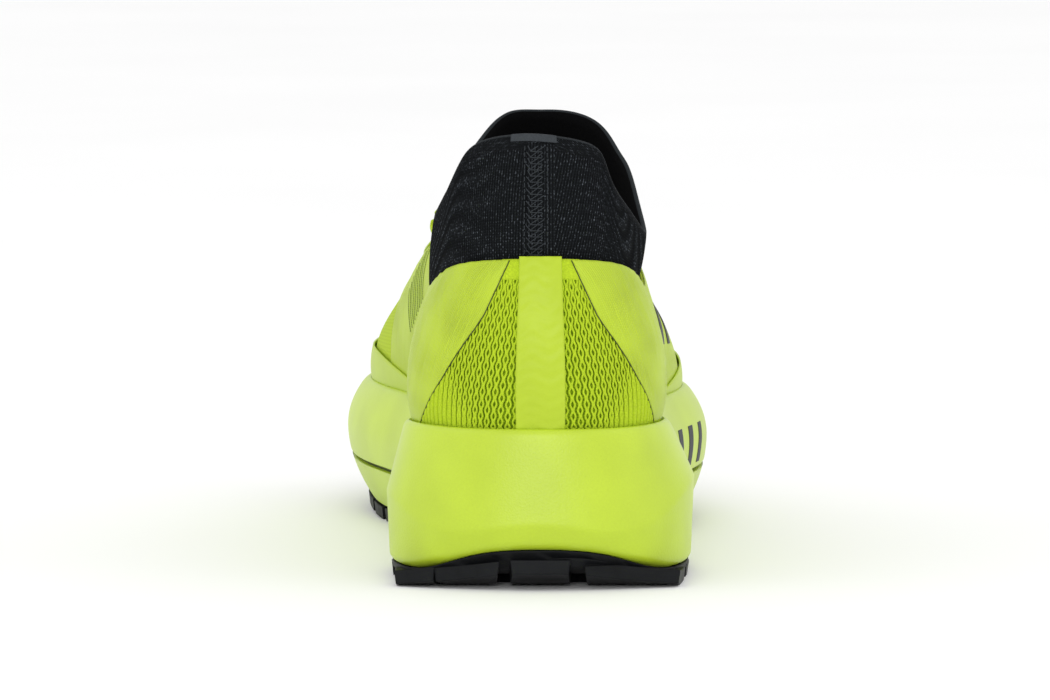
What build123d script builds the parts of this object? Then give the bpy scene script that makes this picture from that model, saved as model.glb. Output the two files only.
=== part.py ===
from build123d import *
import os
import numpy as np

# Trail running shoe, right foot. Millimetres, +Z up, toe towards +Y, outer side towards +X.
# The shoe is laid out from the back of the heel (y = 0, heel centre line x = 0) and every piece
# is moved at the end, so that the origin is under the middle of the shoe, on the ground.

# ---- driving dimensions ----------------------------------------------------------------------
CENTRE_X = -4.5  # middle of the sole's width, from the heel centre line
CENTRE_Y = 149.5  # middle of the shoe's length, from the heel back

HEEL_ROCKER = 6.0  # how far the ground face lifts at the heel back
HEEL_ROCKER_LENGTH = 22.0
HEEL_ROLL = 1.2  # how much more the foam lifts there than the rubber
TOE_SPRING = 24.0  # how far the ground face lifts at the toe tip
TOE_SPRING_START = 185.0
TOE_TIP = 300.0
TOE_SPRING_POWER = 1.9

LUG_HEIGHT = 3.2
LUG_DRAFT = 9.0  # degrees
LUG_SPARE = 4.0  # how far a lug's blank stands past both ends, to be cut by the sloping ground
RUBBER_SHEET = 1.6
RUBBER_INSET = 0.9  # the rubber's edge lies this far inside the foam's edge
GLUE_LINE = 0.1  # gap kept between glued layers

PLATE_THICK = 1.1
PLATE_RECESS = 1.6  # the plate's edge lies this deep in the groove of the sole wall
PLATE_SPLIT = 3.0  # half of the gap between the two plates

SOLE_LIP = 1.5  # foam left outside the upper at the sole's rim
BUCKET_GAP = 0.3  # gap between the upper's skin and the foam's bucket
STROBEL_THICK = 1.2
SOCKLINER_THICK = 4.2
SOCKLINER_COVER = 0.5

# depth of each layer of the upper, inwards from its outer skin: (outer face, inner face)
TRIM = (0.0, 0.4)
PRINT = (0.45, 0.6)
FILM = (0.7, 1.0)
SHELL = (1.3, 2.0)
COUNTER = (2.3, 3.1)
LINING = (3.4, 4.2)
TOE_LINING = (2.9, 3.5)

KNIT = 1.5
COLLAR_BELLY = 0.5  # how far the knit swells out between its foot and its rim
TONGUE_THICK = 1.5
LACE = 2.4  # diameter of the round braided lace
LOOP_WEB = 0.8
LOOP_WIDTH = 6.0

# ---- the shoe's outline and upper, station by station, once round from the heel back ----------
# sole x, y | upper's top edge x, y, z | lower swell out, up | upper swell out, up |
# lip, share of the wall's height where it is widest, inset at its foot, power of its curve
STATIONS = [
    (0, 0, 0, 11, 98.5, 3.0, 15, 6.5, -15, 6.0, 0.22, 3.0, 1.1),
    (25, 4.5, 17, 16, 97.7, 3.5, 15, 6.5, -14, 7.0, 0.22, 2.6, 1.1),
    (40, 20, 27, 28, 94.5, 4.0, 14, 6.5, -13, 8.8, 0.45, 1.6, 1.0),
    (46.3, 47, 31.5, 50, 87.5, 4.0, 13, 5.5, -11, 9.3, 0.6, 1.0, 1.0),
    (44, 80, 31.0, 83, 90.5, 3.5, 14, 5.0, -12, 8.5, 0.5, 3.0, 1.4),
    (41.5, 112, 23.5, 112, 101, 3.0, 18, 12.0, -12, 8.0, 0.45, 4.5, 1.8),
    (44, 143, 19.5, 140, 95.5, 2.0, 16, 17.0, -7, 8.0, 0.5, 5.0, 2.0),
    (50.5, 173, 14, 167, 87.5, 1.5, 14, 22.0, -3, 8.0, 0.58, 6.0, 2.0),
    (53, 203, 7.5, 191, 80.5, 1.5, 13, 25.0, -1, 8.0, 0.58, 7.0, 2.0),
    (47.5, 236, 2.0, 203, 77, 1.5, 13, 25.0, -3, 7.5, 0.56, 7.0, 2.0),
    (32, 267, -3.0, 208, 75.6, 1.5, 13, 30.0, -6, 7.0, 0.52, 5.5, 2.0),
    (8, 290, -6.5, 209.7, 75, 1.5, 13, 38.0, -8, 6.5, 0.5, 5.0, 2.0),
    (-17, 299, -9, 210, 74.8, 1.5, 13, 42.0, -8.5, 6.5, 0.5, 5.0, 2.0),
    (-39, 289, -11.5, 209.7, 75, 1.5, 13, 38.0, -8, 6.5, 0.5, 5.0, 2.0),
    (-54.5, 266, -15.5, 208, 75.6, 1.5, 13, 32.0, -6, 7.0, 0.52, 5.5, 2.0),
    (-61.7, 236, -20.5, 203, 77, 1.5, 13, 28.0, -3, 7.5, 0.56, 7.0, 2.0),
    (-60.5, 208, -25, 191, 80.5, 2.0, 14, 24.0, -1, 8.0, 0.58, 7.0, 2.0),
    (-53.5, 178, -29, 168, 88, 2.5, 15, 19.0, -2, 8.0, 0.58, 7.0, 2.0),
    (-44, 147, -29.5, 141, 96, 4.0, 18, 16.0, -6, 8.0, 0.5, 5.0, 2.0),
    (-39, 113, -26.5, 112, 101.5, 5.0, 18, 11.0, -10, 8.0, 0.42, 4.5, 1.8),
    (-41, 80, -31.5, 83, 91.5, 4.0, 14, 5.5, -12, 7.5, 0.45, 3.0, 1.4),
    (-46.3, 47, -32.5, 50, 89.5, 4.0, 13, 6.0, -11, 7.0, 0.5, 1.0, 1.0),
    (-40, 20, -27, 28, 95.0, 4.0, 14, 6.5, -13, 7.5, 0.4, 1.6, 1.0),
    (-25, 4.5, -17, 16, 97.7, 3.5, 15, 6.5, -14, 7.0, 0.22, 2.6, 1.1),
]
# the knit collar, once round from the heel back: rim x, y, z | foot x, y, z
COLLAR = [
    (0, 8, 135.0, 0, 16.5, 86),
    (14.2, 12, 132.3, 14.5, 20.5, 85.5),
    (18.0, 16, 129.3, 19.5, 24, 84),
    (21.0, 22, 121.3, 23.0, 29, 82),
    (27.5, 38, 109.7, 25.0, 42, 77.5),
    (32.0, 57, 102.6, 25.5, 58, 76),
    (29.9, 73, 111.2, 25.5, 76, 78),
    (27.0, 84, 120.5, 24, 90, 82),
    (24.0, 92, 125, 21.5, 100, 86),
    (17.6, 100, 132.8, 17, 110, 92),
    (6, 106, 136.0, 8, 117.5, 102),
    (-1, 107, 136.0, -1.5, 119, 105),
    (-9.4, 105.5, 135.6, -11, 117.5, 102),
    (-18.0, 96, 129, -19.5, 110, 92),
    (-24.5, 84, 120.5, -25, 98, 86),
    (-28.5, 73, 114.0, -28, 82, 81),
    (-31.8, 57, 108.4, -28.7, 62, 78),
    (-28.4, 38, 116, -27.0, 42, 79),
    (-23.9, 23, 126.3, -23.6, 29, 82.5),
    (-20.4, 18, 131, -19.5, 24, 84),
    (-12, 11, 134.4, -12, 19, 85.5),
]
# heights along the shoe: (distance from the heel back, height)
RIM_HEIGHTS = [
    (0, 48), (45, 47), (90, 44.5), (140, 43.5), (190, 43), (235, 42.5), (270, 44.5), (300, 51),
]
BED_HEIGHTS = [
    (0, 36), (45, 35), (90, 34), (140, 31.5), (190, 29), (235, 28.5), (270, 31), (300, 38),
]
SPLIT_HEIGHTS = [
    (50, 2.5), (62, 9), (78, 14), (110, 17.3), (150, 18.5), (215, 18.8), (245, 21.5), (275, 29), (302, 39),
]
# the tongue: y, height of its middle, x of its middle, half width, drop at its edges
TONGUE = [
    (121, 103.6, -2.6, 25.5, 10.6),
    (140, 99.0, -5.0, 24.5, 9.0),
    (168, 91.0, -7.5, 24, 8.4),
    (191, 82.4, -8.8, 20, 7.2),
    (205, 75.6, -9.2, 15, 3.4),
    (217, 70.0, -9.4, 10, 1.6),
]


# ---- curves ------------------------------------------------------------------------------------
def smooth(points):
    """The natural cubic curve through (place, value) points, as a function of the place."""
    place, value = np.array(points, float).T
    n = len(place)
    step = np.diff(place)
    matrix = np.eye(n)
    right = np.zeros(n)
    for i in range(1, n - 1):
        matrix[i, i - 1 : i + 2] = step[i - 1], 2 * (step[i - 1] + step[i]), step[i]
        right[i] = 6 * ((value[i + 1] - value[i]) / step[i] - (value[i] - value[i - 1]) / step[i - 1])
    bend = np.linalg.solve(matrix, right)

    def at(x):
        x = np.clip(np.asarray(x, float), place[0], place[-1])
        i = np.clip(np.searchsorted(place, x, side="right") - 1, 0, n - 2)
        t = (x - place[i]) / step[i]
        cubic = ((1 - t) ** 3 - (1 - t)) * bend[i] + (t**3 - t) * bend[i + 1]
        return (1 - t) * value[i] + t * value[i + 1] + step[i] ** 2 / 6 * cubic

    return at


def closed(knots, values):
    """The closed cubic curve through rows of values at knots from 0 to 1, as a function."""
    n = len(knots)
    step = np.diff(np.append(knots, 1.0))
    matrix = np.zeros((n, n))
    right = np.zeros(values.shape)
    for i in range(n):
        before = (i - 1) % n
        after = (i + 1) % n
        matrix[i, before] += step[before]
        matrix[i, i] += 2 * (step[before] + step[i])
        matrix[i, after] += step[i]
        rise = (values[after] - values[i]) / step[i]
        right[i] = 6 * (rise - (values[i] - values[before]) / step[before])
    bend = np.linalg.solve(matrix, right)

    def at(u):
        u = np.mod(np.asarray(u, float), 1.0)
        i = np.searchsorted(knots, u, side="right") - 1
        j = (i + 1) % n
        t = ((u - knots[i]) / step[i])[:, None]
        cubic = ((1 - t) ** 3 - (1 - t)) * bend[i] + (t**3 - t) * bend[j]
        return (1 - t) * values[i] + t * values[j] + step[i][:, None] ** 2 / 6 * cubic

    return at


def spaced(points, extra=0.0):
    """Knots from 0 to 1 by the distance between points, once round."""
    gaps = np.linalg.norm(np.roll(points, -1, 0) - points, axis=1) + extra
    return np.concatenate([[0], np.cumsum(gaps)[:-1]]) / gaps.sum()


stations = np.array(STATIONS, float)
knots = spaced(stations[:, :2])
outline = closed(knots, stations[:, :2])
top_edge = closed(knots, stations[:, 2:5])
swell = closed(knots, stations[:, 5:9])
wall_shape = closed(knots, stations[:, 9:])

collar_points = np.array(COLLAR, float)
collar_knots = spaced(collar_points[:, :3], extra=4.0)
collar_rim = closed(collar_knots, collar_points[:, :3])
collar_foot = closed(collar_knots, collar_points[:, 3:])

rim_height = smooth(RIM_HEIGHTS)
bed_height = smooth(BED_HEIGHTS)
split_height = smooth(SPLIT_HEIGHTS)
tongue_rows = np.array(TONGUE, float)
tongue_shape = [smooth(tongue_rows[:, [0, k]]) for k in range(1, 5)]


def unit(vectors):
    return vectors / np.linalg.norm(vectors, axis=-1)[..., None]


def outward(u, loop=outline):
    """The level direction out of the shoe at loop place u."""
    along = loop(u + 1e-4) - loop(u - 1e-4)
    return unit(np.column_stack([along[:, 1], -along[:, 0]]))


def ground(y):
    """Height of the lugs' ground face: it lifts at the heel back and at the toe."""
    heel = HEEL_ROCKER * np.clip(1 - y / HEEL_ROCKER_LENGTH, 0, None) ** 2
    share = np.clip((y - TOE_SPRING_START) / (TOE_TIP - TOE_SPRING_START), 0, None)
    return heel + TOE_SPRING * share**TOE_SPRING_POWER


def foam_bottom(y):
    heel = HEEL_ROLL * np.clip(1 - y / HEEL_ROCKER_LENGTH, 0, None) ** 2
    return ground(y) + LUG_HEIGHT + RUBBER_SHEET + heel


def sole_wall(u, z, inset=0.0):
    """Points of the sole's outer wall at height z: widest low down at the heel, halfway in front."""
    middle = outline(u)
    lip, widest, foot, power = wall_shape(u).T
    low = foam_bottom(middle[:, 1])
    share = (z - low) / (rim_height(middle[:, 1]) - low)
    above = (lip - SOLE_LIP) * np.clip((share - widest) / (1 - widest), 0, 1.4) ** power
    below = foot * np.clip((widest - share) / widest, 0, 1.6) ** power
    points = middle - outward(u) * (above + below + inset)[:, None]
    return np.column_stack([points, np.full(len(u), z)])


def bucket_wall(u, z, inset):
    """Points of the foot bucket's wall at height z, in line with the upper's skin."""
    middle = outline(u)
    lean = swell(u)[:, 0] / swell(u)[:, 1]
    drop = rim_height(middle[:, 1]) - z
    depth = wall_shape(u)[:, 0] + lean * drop + inset
    points = middle - outward(u) * depth[:, None]
    return np.column_stack([points, np.full(len(u), z)])


def skin_at(u, v):
    """The upper's outer skin: v is 0 at the sole's rim, 1 at the top edge, -1 on the foot bed."""
    middle = outline(u)
    out = outward(u)
    lean = swell(u)
    rim = np.column_stack([middle - out * wall_shape(u)[:, :1], rim_height(middle[:, 1])])
    top = top_edge(u)
    low = rim + np.column_stack([out * lean[:, :1], lean[:, 1]])
    high = top + np.column_stack([out * lean[:, 2:3], lean[:, 3]])
    s = np.clip(v, 0, None)[:, None]
    body = (1 - s) ** 3 * rim + 3 * s * (1 - s) ** 2 * low + 3 * s**2 * (1 - s) * high + s**3 * top
    drop = bed_height(middle[:, 1]) - rim[:, 2]
    sunk = np.column_stack([out * (drop * lean[:, 0] / lean[:, 1])[:, None], drop])
    return body + sunk * np.clip(-v, 0, None)[:, None]


def skin(u, v, depth=0.0):
    """Points of the skin, moved inwards by depth."""
    step = 1e-3
    across = skin_at(u + step, v) - skin_at(u - step, v)
    up = skin_at(u, v + step) - skin_at(u, v - step)
    return skin_at(u, v) - unit(np.cross(across, up)) * depth


def collar_at(u, v, depth=0.0):
    """The knit collar's outer face: v is 0 at its foot inside the upper and 1 at its rim."""
    out = np.column_stack([outward(u, lambda w: collar_rim(w)[:, :2]), np.zeros(len(u))])
    share = v[:, None]
    belly = 4 * share * (1 - share) * COLLAR_BELLY
    return collar_foot(u) * (1 - share) + collar_rim(u) * share + out * (belly - depth)


def tongue_at(across, along, depth=0.0):
    """The tongue's outer face: across runs from -1 to 1, along from 0 at the ankle to 1."""
    y = TONGUE[0][0] + (TONGUE[-1][0] - TONGUE[0][0]) * along
    height, middle, half, drop = [shape(y) for shape in tongue_shape]
    return np.column_stack([middle + half * across, y, height - drop * across**2 - depth])


# ---- solids ------------------------------------------------------------------------------------
def edge(*values):
    """A panel's edge as a smooth function from 0 to 1 through evenly spaced values."""
    if len(values) == 1:
        return lambda t: values[0] + 0 * np.asarray(t, float)
    return smooth([(i / (len(values) - 1), value) for i, value in enumerate(values)])


def sheet(points):
    """A smooth face through a grid of points."""
    rows = [[Vector(*point) for point in line] for line in points.tolist()]
    return Face.make_surface_from_array_of_points(rows, tol=0.05, min_deg=3, max_deg=3)


def panel(surface, left, right, low, high, layer, columns, rows):
    """A thin closed panel of a surface, between the two depths of its layer."""
    t, s = np.meshgrid(np.linspace(0, 1, columns), np.linspace(0, 1, rows), indexing="ij")
    t = t.ravel()
    s = s.ravel()
    u = left(s) + (right(s) - left(s)) * t
    v = low(t) + (high(t) - low(t)) * s
    outer, inner = [sheet(surface(u, v, depth).reshape(columns, rows, 3)) for depth in layer]
    sides = []
    for near in inner.edges():
        far = min(outer.edges(), key=lambda line: (line.center() - near.center()).length)
        sides.append(Face.make_surface_from_curves(near, far))
    return Solid(Shell([inner, outer, *sides]))


SLAB_STEP = 9.0  # spacing of a side curve's points
SLAB_REACH = 80.0  # half the width of a slab, more than half of the shoe's


def level_loft(wall, heights, places=28):
    """A solid through one closed smooth outline at each height."""
    u = np.arange(places) / places
    rings = []
    for z in heights:
        points = [Vector(*point) for point in wall(u, z).tolist()]
        rings.append(Wire([Edge.make_spline(points, periodic=True)]))
    return Solid.make_loft(rings)


def side_line(height, start, end):
    """Edges of a side curve: smooth, but dead straight where the sole's ground face is flat."""
    flat = height(np.linspace(HEEL_ROCKER_LENGTH, TOE_SPRING_START, 5))
    breaks = [start, end]
    if np.ptp(flat) < 1e-9:
        inner = [y for y in (HEEL_ROCKER_LENGTH, TOE_SPRING_START) if start < y < end]
        breaks = [start, *inner, end]
    edges = []
    for first, last in zip(breaks, breaks[1:]):
        count = max(2, int(round((last - first) / SLAB_STEP)) + 1)
        points = [Vector(0, y, float(height(y))) for y in np.linspace(first, last, count)]
        level = max(point.Z for point in points) - min(point.Z for point in points) < 1e-9
        if level:
            edges.append(Edge.make_line(points[0], points[-1]))
        else:
            edges.append(Edge.make_spline(points))
    return edges


def side_slab(bottom, top, start, end):
    """A slab across the whole shoe between two side curves, from start to end along the shoe."""
    lower = side_line(bottom, start, end)
    upper = side_line(top, start, end)
    back = Edge.make_line(lower[0] @ 0, upper[0] @ 0)
    front = Edge.make_line(lower[-1] @ 1, upper[-1] @ 1)
    side = Face(Wire([*lower, front, *upper[::-1], back]))
    return Solid.extrude(side.moved(Location((-SLAB_REACH, 0, 0))), Vector(2 * SLAB_REACH, 0, 0))


def solid_of(shape):
    """The largest solid of a boolean's result."""
    return max(shape.solids(), key=lambda solid: solid.volume)


# ---- sole --------------------------------------------------------------------------------------
TREAD_LEVELS = (-2, 6, 14, 24, 34)
SOLE_LEVELS = (-2, 5, 11, 17, 27, 38, 50, 58)


def midsole_top():
    """The upper foam: the whole heel block, the rim round the foot and the groove's roof."""
    body = level_loft(sole_wall, SOLE_LEVELS)
    behind = side_slab(foam_bottom, rim_height, -4, 52)
    over_plate = lambda y: np.maximum(split_height(y) + PLATE_THICK / 2 + GLUE_LINE, foam_bottom(y))
    ahead = side_slab(over_plate, rim_height, 52, 303)
    bucket = level_loft(lambda u, z: bucket_wall(u, z, -BUCKET_GAP), BUCKET_LEVELS)
    hollow = bucket & side_slab(bed_height, lambda y: rim_height(y) + 6, 1, 300)
    return solid_of((body & (behind + ahead)) - hollow)


def midsole_bottom():
    """The lower foam: a wedge from the arch to the toe, under the plates."""
    body = level_loft(sole_wall, SOLE_LEVELS)
    top = lambda y: split_height(y) - PLATE_THICK / 2 - GLUE_LINE
    return solid_of(body & side_slab(foam_bottom, top, 62, 303))


def plate(side):
    """One of the two stiff plates between the foams; side is 1 outside and -1 inside."""
    body = level_loft(lambda u, z: sole_wall(u, z, PLATE_RECESS), SOLE_LEVELS)
    low = lambda y: split_height(y) - PLATE_THICK / 2
    high = lambda y: split_height(y) + PLATE_THICK / 2
    corner = CENTRE_X + PLATE_SPLIT if side > 0 else CENTRE_X - PLATE_SPLIT - SLAB_REACH
    half = Solid.make_box(SLAB_REACH, TOE_TIP, SLAB_REACH, Plane(origin=(corner, 0, 0)))
    return solid_of((body & side_slab(low, high, 76, 292)) & half)


def edge_lug(start, end, inset, depth):
    """Plan of a lug that follows the sole's edge between two loop places."""
    u = np.array([start, (start + end) / 2, end])
    out = outward(u)
    outer = outline(u) - out * inset
    inner = outline(u) - out * (inset + depth)
    inner[1] += out[1] * depth * 0.22
    return [*outer.tolist(), *inner[::-1].tolist()]


def chevron(x, y, width, depth, bend):
    """Plan of a V-shaped lug whose point is ahead by bend."""
    half = width / 2
    rear = [(x - half, y), (x, y + bend), (x + half, y)]
    front = [(x + half, y + depth), (x, y + bend + depth), (x - half, y + depth)]
    return rear + front


def lug(plan):
    """A lug with drafted sides, taller than the tread, which is cut to height later."""
    points = np.array(plan, float)
    away = unit(points - points.mean(0)) * np.tan(np.radians(LUG_DRAFT))
    face_height = ground(points[:, 1].mean())
    rings = []
    for height in (-LUG_SPARE, LUG_HEIGHT + LUG_SPARE):
        ring = points + away * height
        rings.append(Wire.make_polygon([Vector(x, y, face_height + height) for x, y in ring], close=True))
    return Solid.make_loft(rings, ruled=True)


def tread(start, end, plans):
    """A rubber sheet under the foam from start to end, with its lugs."""
    body = level_loft(lambda u, z: sole_wall(u, z, RUBBER_INSET), TREAD_LEVELS)
    lug_top = lambda y: ground(y) + LUG_HEIGHT
    whole = body & side_slab(lug_top, lambda y: foam_bottom(y) - GLUE_LINE, start, end)
    block = side_slab(ground, lambda y: lug_top(y) + RUBBER_SHEET / 2, start, end)
    lugs = [block & lug(plan) for plan in plans]
    return solid_of(whole.fuse(*[solid_of(piece) for piece in lugs]))


def edge_lugs(first, last, count, share, inset, depth):
    """Plans of evenly spaced lugs along the sole's edge; share is lug to pitch."""
    pitch = (last - first) / count
    starts = [first + pitch * i for i in range(count)]
    return [edge_lug(start, start + pitch * share, inset, depth) for start in starts]


def heel_plans():
    plans = [
        [(-8, 2), (8, 2), (9, 13), (0, 15), (-9, 13)],
        [(-31, 9), (-13, 3), (-13, 14), (-25, 18)],
        [(-43, 30), (-43, 14), (-32, 9), (-30, 20), (-33, 30)],
        [(14, 3), (41, 12), (43, 30), (33, 30), (29, 19), (14, 14)],
    ]
    for y in (22, 37, 52, 67):
        plans.append(chevron(-12, y, 15, 7, 3))
        plans.append(chevron(12, y, 15, 7, 3))
    plans += edge_lugs(0.093, 0.165, 3, 0.72, 2.0, 12)
    plans += edge_lugs(0.835, 0.907, 3, 0.72, 2.0, 12)
    return plans


def middle_plans():
    plans = edge_lugs(0.187, 0.247, 3, 0.6, 6.0, 8)
    plans += edge_lugs(0.753, 0.813, 3, 0.6, 6.0, 8)
    for y in (100, 117, 134):
        plans.append(chevron(0, y, 18, 7, 4))
    return plans


def forefoot_plans():
    plans = edge_lugs(0.262, 0.482, 9, 0.72, 7.0, 10)
    plans += edge_lugs(0.532, 0.742, 9, 0.72, 7.0, 10)
    for y in (158, 176, 194, 212, 230, 248):
        plans.append(chevron(11, y, 19, 8, -4))
        plans.append(chevron(-13, y, 19, 8, -4))
    for y in (203, 221, 239):
        plans.append(chevron(-31.5, y, 11, 8, -3))
    plans.append(chevron(-11, 266, 26, 8, 3))
    plans.append(chevron(-15, 282, 22, 9, 4))
    return plans


# ---- inside the shoe ---------------------------------------------------------------------------
BUCKET_LEVELS = (18, 32, 45, 58)


def floor_layer(inset, low, high, start=2, end=298):
    """A sheet that fills the foot bed, between two heights over it."""
    body = level_loft(lambda u, z: bucket_wall(u, z, inset), BUCKET_LEVELS)
    slab = side_slab(lambda y: bed_height(y) + low, lambda y: bed_height(y) + high, start, end)
    return solid_of(body & slab)


# ---- lacing ------------------------------------------------------------------------------------
LACE_PAIRS = 5
LATERAL_LOOPS = (0.222, 0.352)  # loop places of the first and last lace loop outside
MEDIAL_LOOPS = (0.778, 0.648)
LOOP_HEIGHT_SHARE = 0.985  # how far up the skin the loops sit
LOOP_LENGTH = 8.0
LOOP_BORE = 3.6
LACE_REACH = 6.5  # the lace runs straight this far to each side of a loop's middle
LACE_BEND = 0.3  # share of a run that its bend takes
LOOP_LIFT = 0.4
LOOP_SHIFT = 1.5  # how far the loops hang over the edge of the throat
THROAT_X = -9.0  # middle of the throat


def loop_frame(u):
    """Where a lace loop sits on the eyestay: its place, the way along the throat and up."""
    places = np.array([u - 0.004, u, u + 0.004])
    share = np.full(3, LOOP_HEIGHT_SHARE)
    points = skin(places, share)
    up = unit(points[1] - skin(places, share, 1.0)[1])
    along = unit(points[2] - points[0])
    if along[1] < 0:
        along = -along
    along = unit(along - up * np.dot(along, up))
    inwards = np.cross(along, up)
    inwards = -inwards * np.sign(inwards[0] * (points[1][0] - THROAT_X))
    return points[1] + inwards * LOOP_SHIFT, along, up


def loop_places(ends):
    return np.linspace(ends[0], ends[1], LACE_PAIRS)


def lace_loops(ends):
    """Webbing loops sewn to an eyestay, open along the throat for the lace."""
    loops = []
    for u in loop_places(ends):
        point, along, up = loop_frame(u)
        height = LOOP_BORE + 2 * LOOP_WEB
        origin = point + up * (LOOP_LIFT + height / 2) - along * LOOP_WIDTH / 2
        across = np.cross(along, up)
        plane = Plane(origin=Vector(*origin), x_dir=Vector(*across), z_dir=Vector(*along))
        ring = SlotOverall(LOOP_LENGTH, height) - SlotOverall(LOOP_LENGTH - 2 * LOOP_WEB, LOOP_BORE)
        loops.append(solid_of(extrude(plane * ring, LOOP_WIDTH)))
    return loops


def lace_turn(u, side):
    """The lace's points through one loop: behind it and ahead of it."""
    point, along, up = loop_frame(u)
    inwards = unit(np.cross(along, up)) * side
    centre = point + up * (LOOP_LIFT + LOOP_WEB + LOOP_BORE / 2) + inwards * (LOOP_LENGTH / 2 - 2.8)
    return [centre - along * LACE_REACH, centre + along * LACE_REACH]


def over_tongue(start, end, lift):
    """The lace's middle point between two loops, lifted over the tongue."""
    middle = (start + end) / 2
    along = (middle[1] - TONGUE[0][0]) / (TONGUE[-1][0] - TONGUE[0][0])
    crown = tongue_at(np.zeros(1), np.array([along]))[0, 2]
    return np.array([middle[0], middle[1], max(crown + LACE / 2 + lift, middle[2] + lift)])


def tube(points, bend=0.45):
    """A round tube along straight runs joined by arcs that take a share of each run."""
    points = [Vector(*point) for point in points]
    radii = []
    for before, corner, after in zip(points, points[1:], points[2:]):
        one = corner - before
        two = after - corner
        turn = np.radians(one.get_angle(two))
        shorter = min(one.length, two.length)
        radii.append(bend * shorter / np.tan(turn / 2))
    path = FilletPolyline(*points, radius=radii)
    profile = Plane(origin=points[0], z_dir=points[1] - points[0]) * Circle(LACE / 2)
    return sweep(profile, path=path).solid()


KNOT = np.array([-2.0, 125.5, 108.6])
BOW_LOOP = [
    (3, 2, 0.6), (13, 4, 0.0), (22, 11, -2.5), (24, 20, -6.5), (15, 21, -5.0), (7, 12, -0.8), (2.5, 3.5, 0.9),
]
BOW_TAIL = [(1.5, 2.5, -1.2), (8, 16, -2.6), (10, 29, -7.0), (9, 40, -10.0)]


def lace_path(lift):
    """Once through every loop: down one side's crossings, across the toe end, and back."""
    lateral = loop_places(LATERAL_LOOPS)
    medial = loop_places(MEDIAL_LOOPS)
    first = []
    second = []
    for i in range(LACE_PAIRS):
        outside = i % 2 == 0
        ends = [(lateral[i], 1), (medial[i], -1)]
        first.append(lace_turn(*ends[0 if outside else 1]))
        second.append(lace_turn(*ends[1 if outside else 0]))
    route = [KNOT + (3.5, 1.0, -0.6)]
    for i, turn in enumerate(first):
        if i:
            route.append(over_tongue(route[-1], turn[0], lift[0]))
        route += turn
    back = [turn[::-1] for turn in second[::-1]]
    route.append(over_tongue(route[-1], back[0][0], lift[0]))
    for i, turn in enumerate(back):
        if i:
            route.append(over_tongue(route[-1], turn[0], lift[1]))
        route += turn
    route.append(KNOT + (-3.5, 1.0, -0.6))
    return route


def lace():
    """One round lace: criss-cross through the loops, a knot, two bow loops and two tails."""
    body = tube(lace_path((1.2, 4.2)), LACE_BEND)
    knot = Sphere(1).scale(4.2)
    body = body + Location(Vector(*KNOT)) * knot
    for side in (1, -1):
        mirror = np.array([side, 1, 1])
        body = body + tube([KNOT + np.array(point) * mirror for point in BOW_LOOP])
        body = body + tube([KNOT + np.array(point) * mirror for point in BOW_TAIL])
    return solid_of(body)


def aglets():
    """The stiff sleeves on the lace's two tails."""
    sleeves = []
    for side in (1, -1):
        mirror = np.array([side, 1, 1])
        last, end = [Vector(*(KNOT + np.array(point) * mirror)) for point in BOW_TAIL[-2:]]
        away = (end - last).normalized()
        sleeve = Plane(origin=end + away * 0.05, z_dir=away) * Circle(LACE / 2 + 0.15)
        sleeves.append(extrude(sleeve, 11).solid())
    return sleeves


# ---- every piece -------------------------------------------------------------------------------
TREAD_HEEL = (-3, 93)
TREAD_MIDDLE = (96, 151)
TREAD_FOREFOOT = (154, 301)
# the mesh window's edge, from the foot bed up to the topline: loop places
WINDOW_EDGE = (0.092, 0.078, 0.058, 0.036, 0.0195)
FOOT = -0.93  # the upper's layers end just over the foot bed
TUCK = -0.25  # the outer layers end just under the sole's rim


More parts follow.
